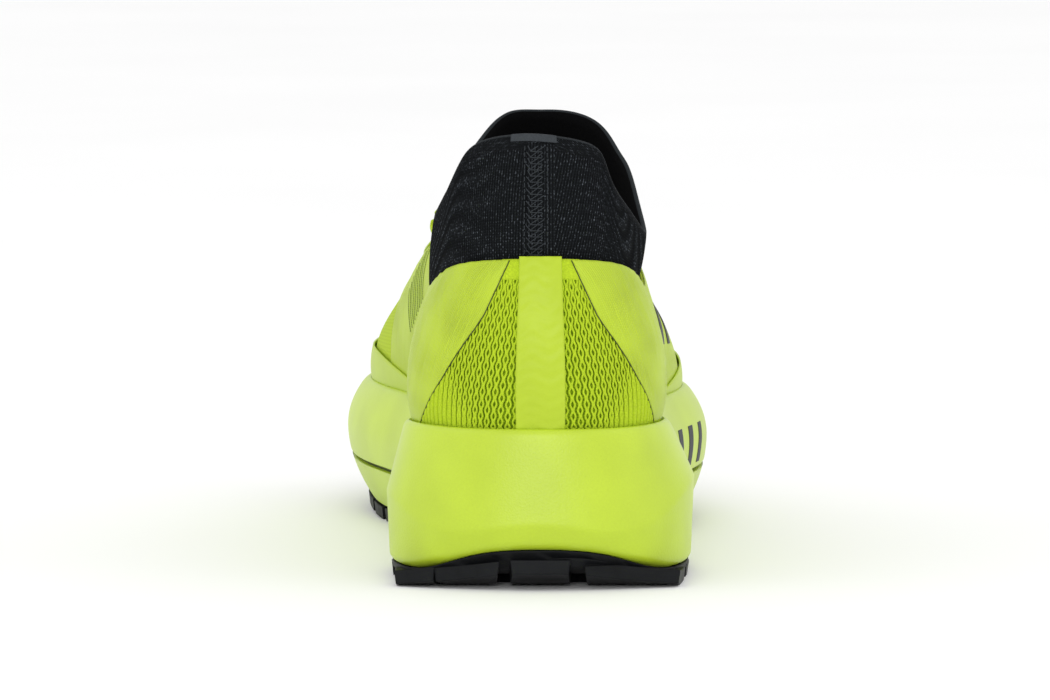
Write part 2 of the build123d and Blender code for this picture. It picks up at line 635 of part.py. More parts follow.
def upper_pieces():
    window = edge(*WINDOW_EDGE)
    window_mirror = lambda s: 1 - window(s)
    on = edge
    foot = on(FOOT)
    tuck = on(TUCK)
    return {
        "heel_mesh_lateral": panel(skin, on(0.0045), on(0.125), foot, on(1.0), SHELL, 10, 9),
        "heel_mesh_medial": panel(skin, on(0.875), on(0.9955), foot, on(1.0), SHELL, 10, 9),
        "quarter_shell_lateral": panel(skin, on(0.1256), on(0.2995), foot, on(1.0), SHELL, 12, 9),
        "quarter_shell_medial": panel(skin, on(0.7005), on(0.8744), foot, on(1.0), SHELL, 12, 9),
        "vamp_shell": panel(skin, on(0.3001), on(0.6999), foot, on(1.0), SHELL, 38, 13),
        "vamp_lining": panel(skin, on(0.303), on(0.697), foot, on(0.86), TOE_LINING, 34, 12),
        "heel_counter": panel(skin, on(-0.1), on(0.1), foot, on(0.5), COUNTER, 18, 8),
        "heel_lining": panel(skin, on(-0.15), on(0.15), foot, on(0.62), LINING, 22, 8),
        "quarter_overlay_lateral": panel(skin, window, on(0.2995), tuck, on(0.985), FILM, 16, 9),
        "quarter_overlay_medial": panel(skin, on(0.7005), window_mirror, tuck, on(0.985), FILM, 16, 9),
        "heel_backstay": panel(skin, on(-0.0093), on(0.0093), on(0.01), on(1.0), TRIM, 4, 9),
        "toe_cap": panel(skin, on(0.42), on(0.594), tuck, on(0.3, 0.46, 0.46, 0.3), TRIM, 16, 8),
        "mudguard_lateral": panel(skin, on(0.215), on(0.4192), tuck, on(-0.1, 0.18, 0.29), TRIM, 18, 8),
        "mudguard_medial": panel(skin, on(0.5948), on(0.79), tuck, on(0.29, 0.18, -0.1), TRIM, 18, 8),
        "eyestay_lateral": panel(skin, on(0.2), on(0.408), on(0.84), on(1.0), TRIM, 30, 7),
        "eyestay_medial": panel(skin, on(0.598), on(0.8), on(0.84), on(1.0), TRIM, 30, 7),
        "tongue": panel(tongue_at, on(-1.0), on(1.0), on(0.0), on(1.0), (0.0, TONGUE_THICK), 9, 9),
        "knit_collar": panel(collar_at, on(0.003), on(0.997), on(0.0), on(1.0), (0.0, KNIT), 46, 6),
        "collar_seam_tape": panel(collar_at, on(-0.0135), on(0.0135), on(0.1), on(0.94), (-0.7, -0.1), 4, 7),
        "collar_top_tape": panel(collar_at, on(-0.025), on(0.025), on(0.955), on(1.0), (-0.7, -0.1), 5, 4),
    }


PRINT_BARS = 6


def side_print():
    """A row of slanted bars printed on the outer quarter."""
    bars = []
    for i in range(PRINT_BARS):
        start = 0.182 + 0.019 * i
        left = edge(start, start + 0.016)
        right = edge(start + 0.008, start + 0.024)
        bars.append(panel(skin, left, right, edge(0.3), edge(0.72 - 0.03 * i), PRINT, 4, 6))
    return bars


def build():
    pieces = {
        "outsole_heel": tread(*TREAD_HEEL, heel_plans()),
        "outsole_midfoot": tread(*TREAD_MIDDLE, middle_plans()),
        "outsole_forefoot": tread(*TREAD_FOREFOOT, forefoot_plans()),
        "midsole_top": midsole_top(),
        "midsole_bottom": midsole_bottom(),
        "plate_lateral": plate(1),
        "plate_medial": plate(-1),
        "strobel_board": floor_layer(4.5, 0.1, 0.1 + STROBEL_THICK),
        "sockliner": floor_layer(5.7, 1.6, 1.6 + SOCKLINER_THICK),
        "sockliner_cover": floor_layer(5.9, 1.7 + SOCKLINER_THICK, 1.7 + SOCKLINER_THICK + SOCKLINER_COVER),
        "lace_loops_lateral": lace_loops(LATERAL_LOOPS),
        "lace_loops_medial": lace_loops(MEDIAL_LOOPS),
        "lace": lace(),
        "aglets": aglets(),
        "side_print_lateral": side_print(),
    }
    pieces.update(upper_pieces())
    return pieces


def write(pieces):
    """One STEP for each piece, moved so that the origin is under the middle of the shoe."""
    os.makedirs("parts", exist_ok=True)
    place = Location((-CENTRE_X, -CENTRE_Y, 0))
    for name, shape in pieces.items():
        solids = shape if isinstance(shape, list) else [shape]
        moved = [solid.moved(place) for solid in solids]
        whole = moved[0] if len(moved) == 1 else Compound(children=moved)
        whole.label = name
        export_step(whole, f"parts/{name}.step")


if __name__ == "__main__":
    write(build())
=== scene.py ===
import math

import bpy
import numpy as np
from bpy.props import FloatProperty, FloatVectorProperty, PointerProperty
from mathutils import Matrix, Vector


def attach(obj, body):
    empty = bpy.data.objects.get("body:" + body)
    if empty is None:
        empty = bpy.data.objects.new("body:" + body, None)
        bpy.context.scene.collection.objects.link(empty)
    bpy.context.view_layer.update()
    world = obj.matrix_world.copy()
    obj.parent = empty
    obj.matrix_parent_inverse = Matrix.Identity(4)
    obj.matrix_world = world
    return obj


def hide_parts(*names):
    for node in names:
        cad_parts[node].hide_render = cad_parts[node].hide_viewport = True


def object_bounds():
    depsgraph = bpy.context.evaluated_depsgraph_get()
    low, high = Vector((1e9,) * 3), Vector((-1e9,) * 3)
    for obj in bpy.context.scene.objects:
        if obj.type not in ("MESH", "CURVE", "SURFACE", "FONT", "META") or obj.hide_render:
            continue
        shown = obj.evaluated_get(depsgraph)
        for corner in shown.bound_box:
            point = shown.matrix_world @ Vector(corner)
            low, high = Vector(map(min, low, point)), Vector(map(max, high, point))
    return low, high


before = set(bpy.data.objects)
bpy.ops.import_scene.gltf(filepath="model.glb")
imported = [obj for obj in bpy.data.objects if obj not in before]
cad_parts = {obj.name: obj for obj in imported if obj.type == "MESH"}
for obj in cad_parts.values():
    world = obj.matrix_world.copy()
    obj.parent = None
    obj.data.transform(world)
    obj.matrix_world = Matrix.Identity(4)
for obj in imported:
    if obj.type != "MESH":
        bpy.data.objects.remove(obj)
CAD_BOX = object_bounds()

bl_info = {
    "name": "Trail Running Shoe",
    "version": (1, 0, 0),
    "blender": (4, 5, 0),
    "location": "3D View > Sidebar > Shoe",
    "description": "Foam, film, mesh, knit, rubber and lace of a trail running shoe round its CAD frame",
    "category": "Object",
}

# Shapes are worked out in millimetres from the back of the heel, as a shoe last is, and then moved
# onto the frame: the heel's back is the frame's lowest y, and its middle line is beside the middle.
MM = 0.001
CENTRE_X = -4.5
LOW, HIGH = Vector(CAD_BOX[0]), Vector(CAD_BOX[1])
SHIFT = np.array([(LOW.x + HIGH.x) / 2 / MM - CENTRE_X, LOW.y / MM, LOW.z / MM])

# layers of the upper: depth of the outer and inner face under the skin, mm
TRIM = (-0.15, 0.4)
PRINT = (0.3, 0.5)
FILM = (0.55, 1.0)
SHELL = (1.1, 2.0)
KNIT = (0.0, 1.5)
BACKING = (1.5, 2.0)
BACKSTAY = (-0.1, 1.1)
LINING = (3.4, 4.2)
TOE_LINING = (2.9, 3.5)
PLATE_THICK = 1.1
GLUE_LINE = 0.1
SOLE_LIP = 1.5
RIM_ROUND = 2.0
LUG_HEIGHT = 3.2
RUBBER_SHEET = 1.6
RUBBER_INSET = 0.9
HEEL_LIFT = 7.2  # how far the foam's foot lifts at the heel back
HEEL_LIFT_LENGTH = 22
TOE_SPRING = 24
TOE_SPRING_START = 185
TOE_TIP = 300
TOE_SPRING_POWER = 1.9

# sole x, y | top edge x, y, z | lower swell out, up | upper swell out, up |
# lip, share of height where the wall is widest, inset at its foot, power of its curve
STATIONS = [
    (0, 0, 0, 11, 98.5, 3.0, 15, 6.5, -15, 6.0, 0.22, 3.0, 1.1),
    (25, 4.5, 17, 16, 97.7, 3.5, 15, 6.5, -14, 7.0, 0.22, 2.6, 1.1),
    (40, 20, 27, 28, 94.5, 4.0, 14, 6.5, -13, 8.8, 0.45, 1.6, 1.0),
    (46.3, 47, 31.5, 50, 87.5, 4.0, 13, 5.5, -11, 9.3, 0.6, 1.0, 1.0),
    (44, 80, 31.0, 83, 90.5, 3.5, 14, 5.0, -12, 8.5, 0.5, 3.0, 1.4),
    (41.5, 112, 23.5, 112, 101, 3.0, 18, 12.0, -12, 8.0, 0.45, 4.5, 1.8),
    (44, 143, 19.5, 140, 95.5, 2.0, 16, 17.0, -7, 8.0, 0.5, 5.0, 2.0),
    (50.5, 173, 14, 167, 87.5, 1.5, 14, 22.0, -3, 8.0, 0.58, 6.0, 2.0),
    (53, 203, 7.5, 191, 80.5, 1.5, 13, 25.0, -1, 8.0, 0.58, 7.0, 2.0),
    (47.5, 236, 2.0, 203, 77, 1.5, 13, 25.0, -3, 7.5, 0.56, 7.0, 2.0),
    (32, 267, -3.0, 208, 75.6, 1.5, 13, 30.0, -6, 7.0, 0.52, 5.5, 2.0),
    (8, 290, -6.5, 209.7, 75, 1.5, 13, 38.0, -8, 6.5, 0.5, 5.0, 2.0),
    (-17, 299, -9, 210, 74.8, 1.5, 13, 42.0, -8.5, 6.5, 0.5, 5.0, 2.0),
    (-39, 289, -11.5, 209.7, 75, 1.5, 13, 38.0, -8, 6.5, 0.5, 5.0, 2.0),
    (-54.5, 266, -15.5, 208, 75.6, 1.5, 13, 32.0, -6, 7.0, 0.52, 5.5, 2.0),
    (-61.7, 236, -20.5, 203, 77, 1.5, 13, 28.0, -3, 7.5, 0.56, 7.0, 2.0),
    (-60.5, 208, -25, 191, 80.5, 2.0, 14, 24.0, -1, 8.0, 0.58, 7.0, 2.0),
    (-53.5, 178, -29, 168, 88, 2.5, 15, 19.0, -2, 8.0, 0.58, 7.0, 2.0),
    (-44, 147, -29.5, 141, 96, 4.0, 18, 16.0, -6, 8.0, 0.5, 5.0, 2.0),
    (-39, 113, -26.5, 112, 101.5, 5.0, 18, 11.0, -10, 8.0, 0.42, 4.5, 1.8),
    (-41, 80, -31.5, 83, 91.5, 4.0, 14, 5.5, -12, 7.5, 0.45, 3.0, 1.4),
    (-46.3, 47, -32.5, 50, 89.5, 4.0, 13, 6.0, -11, 7.0, 0.5, 1.0, 1.0),
    (-40, 20, -27, 28, 95.0, 4.0, 14, 6.5, -13, 7.5, 0.4, 1.6, 1.0),
    (-25, 4.5, -17, 16, 97.7, 3.5, 15, 6.5, -14, 7.0, 0.22, 2.6, 1.1),
]
# knit collar: rim x, y, z | foot x, y, z
COLLAR = [
    (0, 8, 135.0, 0, 16.5, 86),
    (14.2, 12, 132.3, 14.5, 20.5, 85.5),
    (18.0, 16, 129.3, 19.5, 24, 84),
    (21.0, 22, 121.3, 23.0, 29, 82),
    (27.5, 38, 109.7, 25.0, 42, 77.5),
    (32.0, 57, 102.6, 25.5, 58, 76),
    (29.9, 73, 111.2, 25.5, 76, 78),
    (27.0, 84, 120.5, 24, 90, 82),
    (24.0, 92, 125, 21.5, 100, 86),
    (17.6, 100, 132.8, 17, 110, 92),
    (6, 106, 136.0, 8, 117.5, 102),
    (-1, 107, 136.0, -1.5, 119, 105),
    (-9.4, 105.5, 135.6, -11, 117.5, 102),
    (-18.0, 96, 129, -19.5, 110, 92),
    (-24.5, 84, 120.5, -26, 98, 86),
    (-28.5, 73, 114.0, -30.5, 82, 81),
    (-31.8, 57, 108.4, -33, 62, 78),
    (-28.4, 38, 116, -31, 42, 79),
    (-23.9, 23, 126.3, -25, 29, 82.5),
    (-20.4, 18, 131, -19.5, 24, 84),
    (-12, 11, 134.4, -12, 19, 85.5),
]
RIM_HEIGHTS = [(0, 48), (45, 47), (90, 44.5), (140, 43.5), (190, 43), (235, 42.5), (270, 44.5), (300, 51)]
BED_HEIGHTS = [(0, 36), (45, 35), (90, 34), (140, 31.5), (190, 29), (235, 28.5), (270, 31), (300, 38)]
SPLIT_HEIGHTS = [
    (50, 2.5), (62, 9), (78, 14), (110, 17.3), (150, 18.5), (215, 18.8), (245, 21.5), (275, 29), (302, 39),
]
# tongue: y, height of its middle, x of its middle, half width, drop at its edges
TONGUE = [
    (121, 103.6, -2.6, 25.5, 10.6),
    (140, 99.0, -5.0, 24.5, 9.0),
    (168, 91.0, -7.5, 24, 8.4),
    (191, 82.4, -8.8, 20, 7.2),
    (205, 75.6, -9.2, 15, 3.4),
    (217, 70.0, -9.4, 10, 1.6),
]


# ---- curves and surfaces -----------------------------------------------------------------------
def natural(points):
    """The natural cubic curve through (place, value) points."""
    place, value = np.array(points, float).T
    n = len(place)
    step = np.diff(place)
    matrix = np.eye(n)
    right = np.zeros(n)
    for i in range(1, n - 1):
        matrix[i, i - 1 : i + 2] = step[i - 1], 2 * (step[i - 1] + step[i]), step[i]
        right[i] = 6 * ((value[i + 1] - value[i]) / step[i] - (value[i] - value[i - 1]) / step[i - 1])
    bend = np.linalg.solve(matrix, right)

    def at(x):
        x = np.clip(np.asarray(x, float), place[0], place[-1])
        i = np.clip(np.searchsorted(place, x, side="right") - 1, 0, n - 2)
        t = (x - place[i]) / step[i]
        cubic = ((1 - t) ** 3 - (1 - t)) * bend[i] + (t**3 - t) * bend[i + 1]
        return (1 - t) * value[i] + t * value[i + 1] + step[i] ** 2 / 6 * cubic

    return at


def closed(knots, values):
    """The closed cubic curve through rows of values at knots from 0 to 1."""
    n = len(knots)
    step = np.diff(np.append(knots, 1.0))
    matrix = np.zeros((n, n))
    right = np.zeros(values.shape)
    for i in range(n):
        before = (i - 1) % n
        after = (i + 1) % n
        matrix[i, before] += step[before]
        matrix[i, i] += 2 * (step[before] + step[i])
        matrix[i, after] += step[i]
        rise = (values[after] - values[i]) / step[i]
        right[i] = 6 * (rise - (values[i] - values[before]) / step[before])
    bend = np.linalg.solve(matrix, right)

    def at(u):
        u = np.mod(np.asarray(u, float), 1.0)
        i = np.searchsorted(knots, u, side="right") - 1
        j = (i + 1) % n
        t = ((u - knots[i]) / step[i])[:, None]
        cubic = ((1 - t) ** 3 - (1 - t)) * bend[i] + (t**3 - t) * bend[j]
        return (1 - t) * values[i] + t * values[j] + step[i][:, None] ** 2 / 6 * cubic

    return at


def spaced(points, extra=0.0):
    gaps = np.linalg.norm(np.roll(points, -1, 0) - points, axis=1) + extra
    return np.concatenate([[0], np.cumsum(gaps)[:-1]]) / gaps.sum()


stations = np.array(STATIONS, float)
knots = spaced(stations[:, :2])
ROUND = np.linalg.norm(np.roll(stations[:, :2], -1, 0) - stations[:, :2], axis=1).sum()
outline = closed(knots, stations[:, :2])
top_edge = closed(knots, stations[:, 2:5])
swell = closed(knots, stations[:, 5:9])
wall_shape = closed(knots, stations[:, 9:])
collar_points = np.array(COLLAR, float)
collar_knots = spaced(collar_points[:, :3], extra=4.0)
collar_rim = closed(collar_knots, collar_points[:, :3])
collar_foot = closed(collar_knots, collar_points[:, 3:])
COLLAR_ROUND = np.linalg.norm(np.roll(collar_points[:, :3], -1, 0) - collar_points[:, :3], axis=1).sum()
rim_height = natural(RIM_HEIGHTS)
bed_height = natural(BED_HEIGHTS)
split_height = natural(SPLIT_HEIGHTS)
tongue_rows = np.array(TONGUE, float)
tongue_shape = [natural(tongue_rows[:, [0, k]]) for k in range(1, 5)]


def unit(vectors):
    return vectors / np.linalg.norm(vectors, axis=-1)[..., None]


def outward(u, loop=outline):
    along = loop(u + 1e-4) - loop(u - 1e-4)
    return unit(np.column_stack([along[:, 1], -along[:, 0]]))


def foam_bottom(y):
    heel = HEEL_LIFT * np.clip(1 - y / HEEL_LIFT_LENGTH, 0, None) ** 2
    share = np.clip((y - TOE_SPRING_START) / (TOE_TIP - TOE_SPRING_START), 0, None)
    toe = TOE_SPRING * share**TOE_SPRING_POWER
    return heel + toe + LUG_HEIGHT + RUBBER_SHEET


def sole_wall(u, z, inset=0.0):
    """The sole's outer wall at loop place u and height z, both arrays."""
    middle = outline(u)
    lip, widest, foot, power = wall_shape(u).T
    low = foam_bottom(middle[:, 1])
    share = (z - low) / (rim_height(middle[:, 1]) - low)
    above = (lip - SOLE_LIP) * np.clip((share - widest) / (1 - widest), 0, 1.4) ** power
    below = foot * np.clip((widest - share) / widest, 0, 1.6) ** power
    points = middle - outward(u) * (above + below + inset)[:, None]
    return np.column_stack([points, z])


def foam_skin(u, v, depth=0.0):
    """The sole wall beside the groove: v is 0 at the groove and 1 at the rim."""
    y = outline(u)[:, 1]
    low = np.maximum(foam_bottom(y), split_height(y) + 1.5)
    return sole_wall(u, low + (rim_height(y) - RIM_ROUND - low) * v, np.ravel(depth) + 0 * u)


def skin_at(u, v):
    middle = outline(u)
    out = outward(u)
    lean = swell(u)
    rim = np.column_stack([middle - out * wall_shape(u)[:, :1], rim_height(middle[:, 1])])
    top = top_edge(u)
    low = rim + np.column_stack([out * lean[:, :1], lean[:, 1]])
    high = top + np.column_stack([out * lean[:, 2:3], lean[:, 3]])
    s = np.clip(v, 0, None)[:, None]
    body = (1 - s) ** 3 * rim + 3 * s * (1 - s) ** 2 * low + 3 * s**2 * (1 - s) * high + s**3 * top
    drop = bed_height(middle[:, 1]) - rim[:, 2]
    sunk = np.column_stack([out * (drop * lean[:, 0] / lean[:, 1])[:, None], drop])
    return body + sunk * np.clip(-v, 0, None)[:, None]


def skin(u, v, depth=0.0):
    """The upper's outer skin, moved inwards by depth: v is 0 at the rim and 1 at the top edge."""
    step = 1e-3
    across = skin_at(u + step, v) - skin_at(u - step, v)
    up = skin_at(u, v + step) - skin_at(u, v - step)
    return skin_at(u, v) - unit(np.cross(across, up)) * np.reshape(depth, (-1, 1))


COLLAR_BELLY = 1.1


def collar(u, v, depth=0.0):
    """The knit collar: v is 0 at its foot inside the upper and 1 at its rim."""
    out = np.column_stack([outward(u, lambda w: collar_rim(w)[:, :2]), np.zeros(len(u))])
    share = v[:, None]
    belly = COLLAR_BELLY * 4 * share * (1 - share)
    return collar_foot(u) * (1 - share) + collar_rim(u) * share + out * (belly - np.reshape(depth, (-1, 1)))


def tongue(across, along, depth=0.0):
    """The tongue: across runs from -1 to 1, along from 0 at the ankle to 1."""
    y = TONGUE[0][0] + (TONGUE[-1][0] - TONGUE[0][0]) * along
    height, middle, half, drop = [shape(y) for shape in tongue_shape]
    return np.column_stack([middle + half * across, y, height - drop * across**2 - np.ravel(depth)])


# ---- meshes ------------------------------------------------------------------------------------
def new_piece(name, points, faces, uv=None, smooth=True):
    """A mesh object from points in millimetres; uv holds millimetres too, one pair per point."""
    mesh = bpy.data.meshes.new(name)
    mesh.from_pydata(((np.asarray(points) + SHIFT) * MM).tolist(), [], faces)
    if uv is not None:
        layer = mesh.uv_layers.new(name="mm")
        places = np.zeros(len(mesh.loops), int)
        mesh.loops.foreach_get("vertex_index", places)
        layer.data.foreach_set("uv", np.asarray(uv, np.float32)[places].ravel())
    mesh.validate()
    if smooth:
        mesh.shade_smooth()
    piece = bpy.data.objects.new(name, mesh)
    bpy.context.scene.collection.objects.link(piece)
    return piece


def grid_faces(columns, rows, start=0, flip=False, wrap=False):
    faces = []
    for i in range(columns if wrap else columns - 1):
        for j in range(rows - 1):
            a = start + i * rows + j
            b = start + ((i + 1) % columns) * rows + j
            faces.append((a, a + 1, b + 1, b) if flip else (a, b, b + 1, a + 1))
    return faces


def ring_faces(count, rows):
    """Faces over rings of points, with the first and the last ring filled."""
    first = tuple(range((count - 1) * rows, -1, -rows))
    last = tuple(range(rows - 1, count * rows, rows))
    return grid_faces(count, rows, wrap=True) + [first, last]


def const(value):
    return lambda t: value + 0 * t


def through(*values):
    """A smooth edge through evenly spaced values, as a function from 0 to 1."""
    return natural([(i / (len(values) - 1), value) for i, value in enumerate(values)])


def panel(name, surface, left, right, low, high, layer, columns, rows, relief=None):
    """A closed thin panel of a surface between two depths, its rim closed by flat faces.
    relief(u, v) adds to how far the outer face stands out."""
    t, s = np.meshgrid(np.linspace(0, 1, columns), np.linspace(0, 1, rows), indexing="ij")
    t = t.ravel()
    s = s.ravel()
    u = left(s) + (right(s) - left(s)) * t
    v = low(t) + (high(t) - low(t)) * s
    outer, inner = layer
    proud = relief(u, v) if relief else 0 * u
    front = surface(u, v, outer - proud)
    back = surface(u, v, inner + 0 * u)
    grid = front.reshape(columns, rows, 3)
    around = np.zeros((columns, rows))
    around[1:] = np.cumsum(np.linalg.norm(np.diff(grid, axis=0), axis=2), axis=0)
    around -= around[columns // 2]
    rise = np.zeros((columns, rows))
    rise[:, 1:] = np.cumsum(np.linalg.norm(np.diff(grid, axis=1), axis=2), axis=1)
    uv = np.column_stack([around.ravel(), rise.ravel()])
    count = columns * rows
    faces = grid_faces(columns, rows) + grid_faces(columns, rows, count, flip=True)
    ring = [i * rows for i in range(columns)]
    ring += [(columns - 1) * rows + j for j in range(1, rows)]
    ring += [i * rows + rows - 1 for i in range(columns - 2, -1, -1)]
    ring += [j for j in range(rows - 2, 0, -1)]
    for a, b in zip(ring, ring[1:] + ring[:1]):
        faces.append((b, a, a + count, b + count))
    return new_piece(name, np.vstack([front, back]), faces, np.vstack([uv, uv]))


def tube_grid(path, radius, sides=8, flat=1.0, up=None):
    """Points round a line: radius across, flat times radius along up."""
    path = np.asarray(path, float)
    radius = (np.asarray(radius, float) + np.zeros(len(path)))[:, None, None]
    along = unit(np.gradient(path, axis=0))
    up = np.array([0.0, 0.0, 1.0]) if up is None else up
    across = unit(np.cross(along, np.broadcast_to(up, path.shape)) + 1e-9)
    normal = np.cross(across, along)
    angle = np.linspace(0, 2 * np.pi, sides, endpoint=False)
    ring = across[:, None] * np.cos(angle)[None, :, None] * radius
    ring = ring + normal[:, None] * np.sin(angle)[None, :, None] * radius * flat
    return (path[:, None] + ring).reshape(-1, 3)


def tubes(name, lines, radius, sides=6, flat=1.0, ups=None):
    """One piece of many closed round strands along lines of points."""
    points = []
    faces = []
    uv = []
    start = 0
    for k, line in enumerate(lines):
        n = len(line)
        thick = radius[k] if isinstance(radius, list) else radius
        ring = tube_grid(line, thick, sides, flat, None if ups is None else ups[k])
        points.append(ring)
        for i in range(n - 1):
            for j in range(sides):
                a = start + i * sides + j
                b = start + i * sides + (j + 1) % sides
                faces.append((a, b, b + sides, a + sides))
        faces.append(tuple(start + j for j in range(sides))[::-1])
        faces.append(tuple(start + (n - 1) * sides + j for j in range(sides)))
        length = np.concatenate([[0], np.cumsum(np.linalg.norm(np.diff(line, axis=0), axis=1))])
        turn = np.tile(np.arange(sides) / sides * 2 * np.pi * np.max(thick), n)
        uv.append(np.column_stack([np.repeat(length, sides), turn]))
        start += n * sides
    return new_piece(name, np.vstack(points), faces, np.vstack(uv))


def ride(piece, slot, material, *nodes, body="shoe"):
    piece.data.materials.clear()
    piece.data.materials.append(material)
    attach(piece, body)
    if nodes:
        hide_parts(*nodes)
    return piece


# ---- materials ---------------------------------------------------------------------------------
def linear(code):
    """An sRGB hex colour as linear red, green, blue and full cover."""
    parts = [int(code[i : i + 2], 16) / 255 for i in (1, 3, 5)]
    return (*(c / 12.92 if c <= 0.04045 else ((c + 0.055) / 1.055) ** 2.4 for c in parts), 1.0)


def shade(colour, factor):
    """The colour made darker or lighter."""
    return (*(min(1.0, c * factor) for c in colour[:3]), 1.0)


def add(tree, kind, inputs=None, **settings):
    """Adds a node: settings are its properties, inputs its values or linked sockets by name or number."""
    node = tree.nodes.new("ShaderNode" + kind)
    for name, value in settings.items():
        setattr(node, name, value)
    for name, value in (inputs or {}).items():
        if isinstance(value, bpy.types.NodeSocket):
            tree.links.new(value, node.inputs[name])
        else:
            node.inputs[name].default_value = value
    return node


def material(name, colour, roughness, **shader):
    """A material with its shader: returns it, its node tree and its shader node."""
    made = bpy.data.materials.new(name)
    made.use_nodes = True
    tree = made.node_tree
    surface = tree.nodes["Principled BSDF"]
    surface.inputs["Base Color"].default_value = colour
    surface.inputs["Roughness"].default_value = roughness
    for key, value in shader.items():
        surface.inputs[key.replace("_", " ")].default_value = value
    made.diffuse_color = colour
    return made, tree, surface


def finish(tree, surface, colour, normal):
    """Links a material's colour and its relief to its shader."""
    tree.links.new(colour, surface.inputs["Base Color"])
    tree.links.new(normal, surface.inputs["Normal"])


def moulded_foam(name, colour):
    """EVA foam, compression moulded: a satin skin with a fine pebble left by the mould."""
    made, tree, surface = material(name, colour, 0.36, IOR=1.45, Specular_IOR_Level=0.55)
    place = add(tree, "TexCoord").outputs["Object"]
    grain = add(tree, "TexNoise", {"Vector": place, "Scale": 1.6 / MM, "Detail": 3.0}).outputs[0]
    cloud = add(tree, "TexNoise", {"Vector": place, "Scale": 0.035 / MM, "Detail": 2.0}).outputs[0]
    drift = add(tree, "MapRange", {0: cloud, 1: 0.35, 2: 0.65}).outputs[0]
    tones = {0: drift, 6: shade(colour, 0.93), 7: shade(colour, 1.05)}
    tone = add(tree, "Mix", tones, data_type="RGBA").outputs[2]
    pits = add(tree, "MapRange", {0: grain, 1: 0.3, 2: 0.7, 4: 0.16}).outputs[0]
    speck = add(tree, "Mix", {0: pits, 6: tone, 7: shade(colour, 0.72)}, data_type="RGBA").outputs[2]
    pebble = add(tree, "Bump", {"Strength": 0.35, "Distance": 0.25 * MM, "Height": grain}).outputs[0]
    finish(tree, surface, speck, pebble)
    return made


def pressed_rubber(name, colour):
    """Carbon rubber, pressed in a steel mould: matt faces, with a painted highlight making the pointy edges
    lighter.
    """
    made, tree, surface = material(name, colour, 0.5, Specular_IOR_Level=0.14)
    place = add(tree, "TexCoord").outputs["Object"]
    grain = add(tree, "TexNoise", {"Vector": place, "Scale": 1.1 / MM, "Detail": 4.0}).outputs[0]
    dust = add(tree, "TexNoise", {"Vector": place, "Scale": 0.12 / MM, "Detail": 3.0}).outputs[0]
    dusty = add(tree, "MapRange", {0: dust, 1: 0.35, 2: 0.7}).outputs[0]
    tone = add(tree, "Mix", {0: dusty, 6: colour, 7: shade(colour, 1.7)}, data_type="RGBA").outputs[2]
    edge = add(tree, "NewGeometry").outputs["Pointiness"]
    # painted highlight: pointy edges get a much lighter rubber colour, standing in for light caught on the
    # bevels
    painted_edge_highlight = add(tree, "MapRange", {0: edge, 1: 0.5, 2: 0.62, 4: 0.45}).outputs[0]
    lit = add(tree, "Mix", {0: painted_edge_highlight, 6: tone, 7: shade(colour, 3.4)}, data_type="RGBA").outputs[2]
    round_edge = add(tree, "Bevel", {"Radius": 0.6 * MM}, samples=4).outputs[0]
    pores = {"Strength": 0.3, "Distance": 0.3 * MM, "Height": grain, "Normal": round_edge}
    finish(tree, surface, lit, add(tree, "Bump", pores).outputs[0])
    return made


def welded_film(name, colour, rib_pitch, crinkle, ribbed=1.0):
    """TPU film, hot welded over textile: a satin skin with the cloth's ribs showing through."""
    made, tree, surface = material(name, colour, 0.42, Specular_IOR_Level=0.3)
    flat = add(tree, "UVMap", uv_map="mm").outputs["UV"]
    split = add(tree, "SeparateXYZ", {0: flat}).outputs
    long_way = add(tree, "VectorMath", {0: flat, 1: (0.5, 0.08, 1)}, operation="MULTIPLY").outputs[0]
    wander = add(tree, "TexNoise", {"Vector": long_way, "Scale": 1.0}).outputs[0]
    drift = add(tree, "Math", {0: split[0], 1: wander}, operation="ADD").outputs[0]
    turn = add(tree, "Math", {0: drift, 1: 2 * math.pi / rib_pitch}, operation="MULTIPLY").outputs[0]
    wave = add(tree, "Math", {0: turn}, operation="SINE").outputs[0]
    patchy = add(tree, "TexNoise", {"Vector": flat, "Scale": 0.06, "Detail": 1.0}).outputs[0]
    fade = add(tree, "MapRange", {0: patchy, 1: 0.3, 2: 0.7, 3: 0.25 * ribbed, 4: ribbed}).outputs[0]
    ribs = add(tree, "Math", {0: wave, 1: fade}, operation="MULTIPLY").outputs[0]
    cloud = add(tree, "TexNoise", {"Vector": flat, "Scale": 0.05, "Detail": 3.0}).outputs[0]
    drifted = add(tree, "MapRange", {0: cloud, 1: 0.3, 2: 0.7}).outputs[0]
    tones = {0: drifted, 6: shade(colour, 0.95), 7: shade(colour, 1.05)}
    tone = add(tree, "Mix", tones, data_type="RGBA").outputs[2]
    # painted shade: the film colour is darkened in the troughs between the ribs
    painted_rib_shade = add(tree, "MapRange", {0: ribs, 1: -1.0, 2: 1.0, 3: 0.2, 4: 0.0}).outputs[0]
    rib_shaded_colour = add(tree, "Mix", {0: painted_rib_shade, 6: tone, 7: shade(colour, 0.45)}, data_type="RGBA").outputs[2]
    folds = add(tree, "VectorMath", {0: flat, 1: (0.05, 0.22, 1)}, operation="MULTIPLY").outputs[0]
    creased = add(tree, "TexNoise", {"Vector": folds, "Scale": 1.0, "Detail": 4.0}).outputs[0]
    crease = add(tree, "Bump", {"Strength": crinkle, "Distance": 1.6 * MM, "Height": creased}).outputs[0]
    raised = {"Strength": 1.0, "Distance": 0.12 * MM, "Height": ribs, "Normal": crease}
    finish(tree, surface, rib_shaded_colour, add(tree, "Bump", raised).outputs[0])
    return made


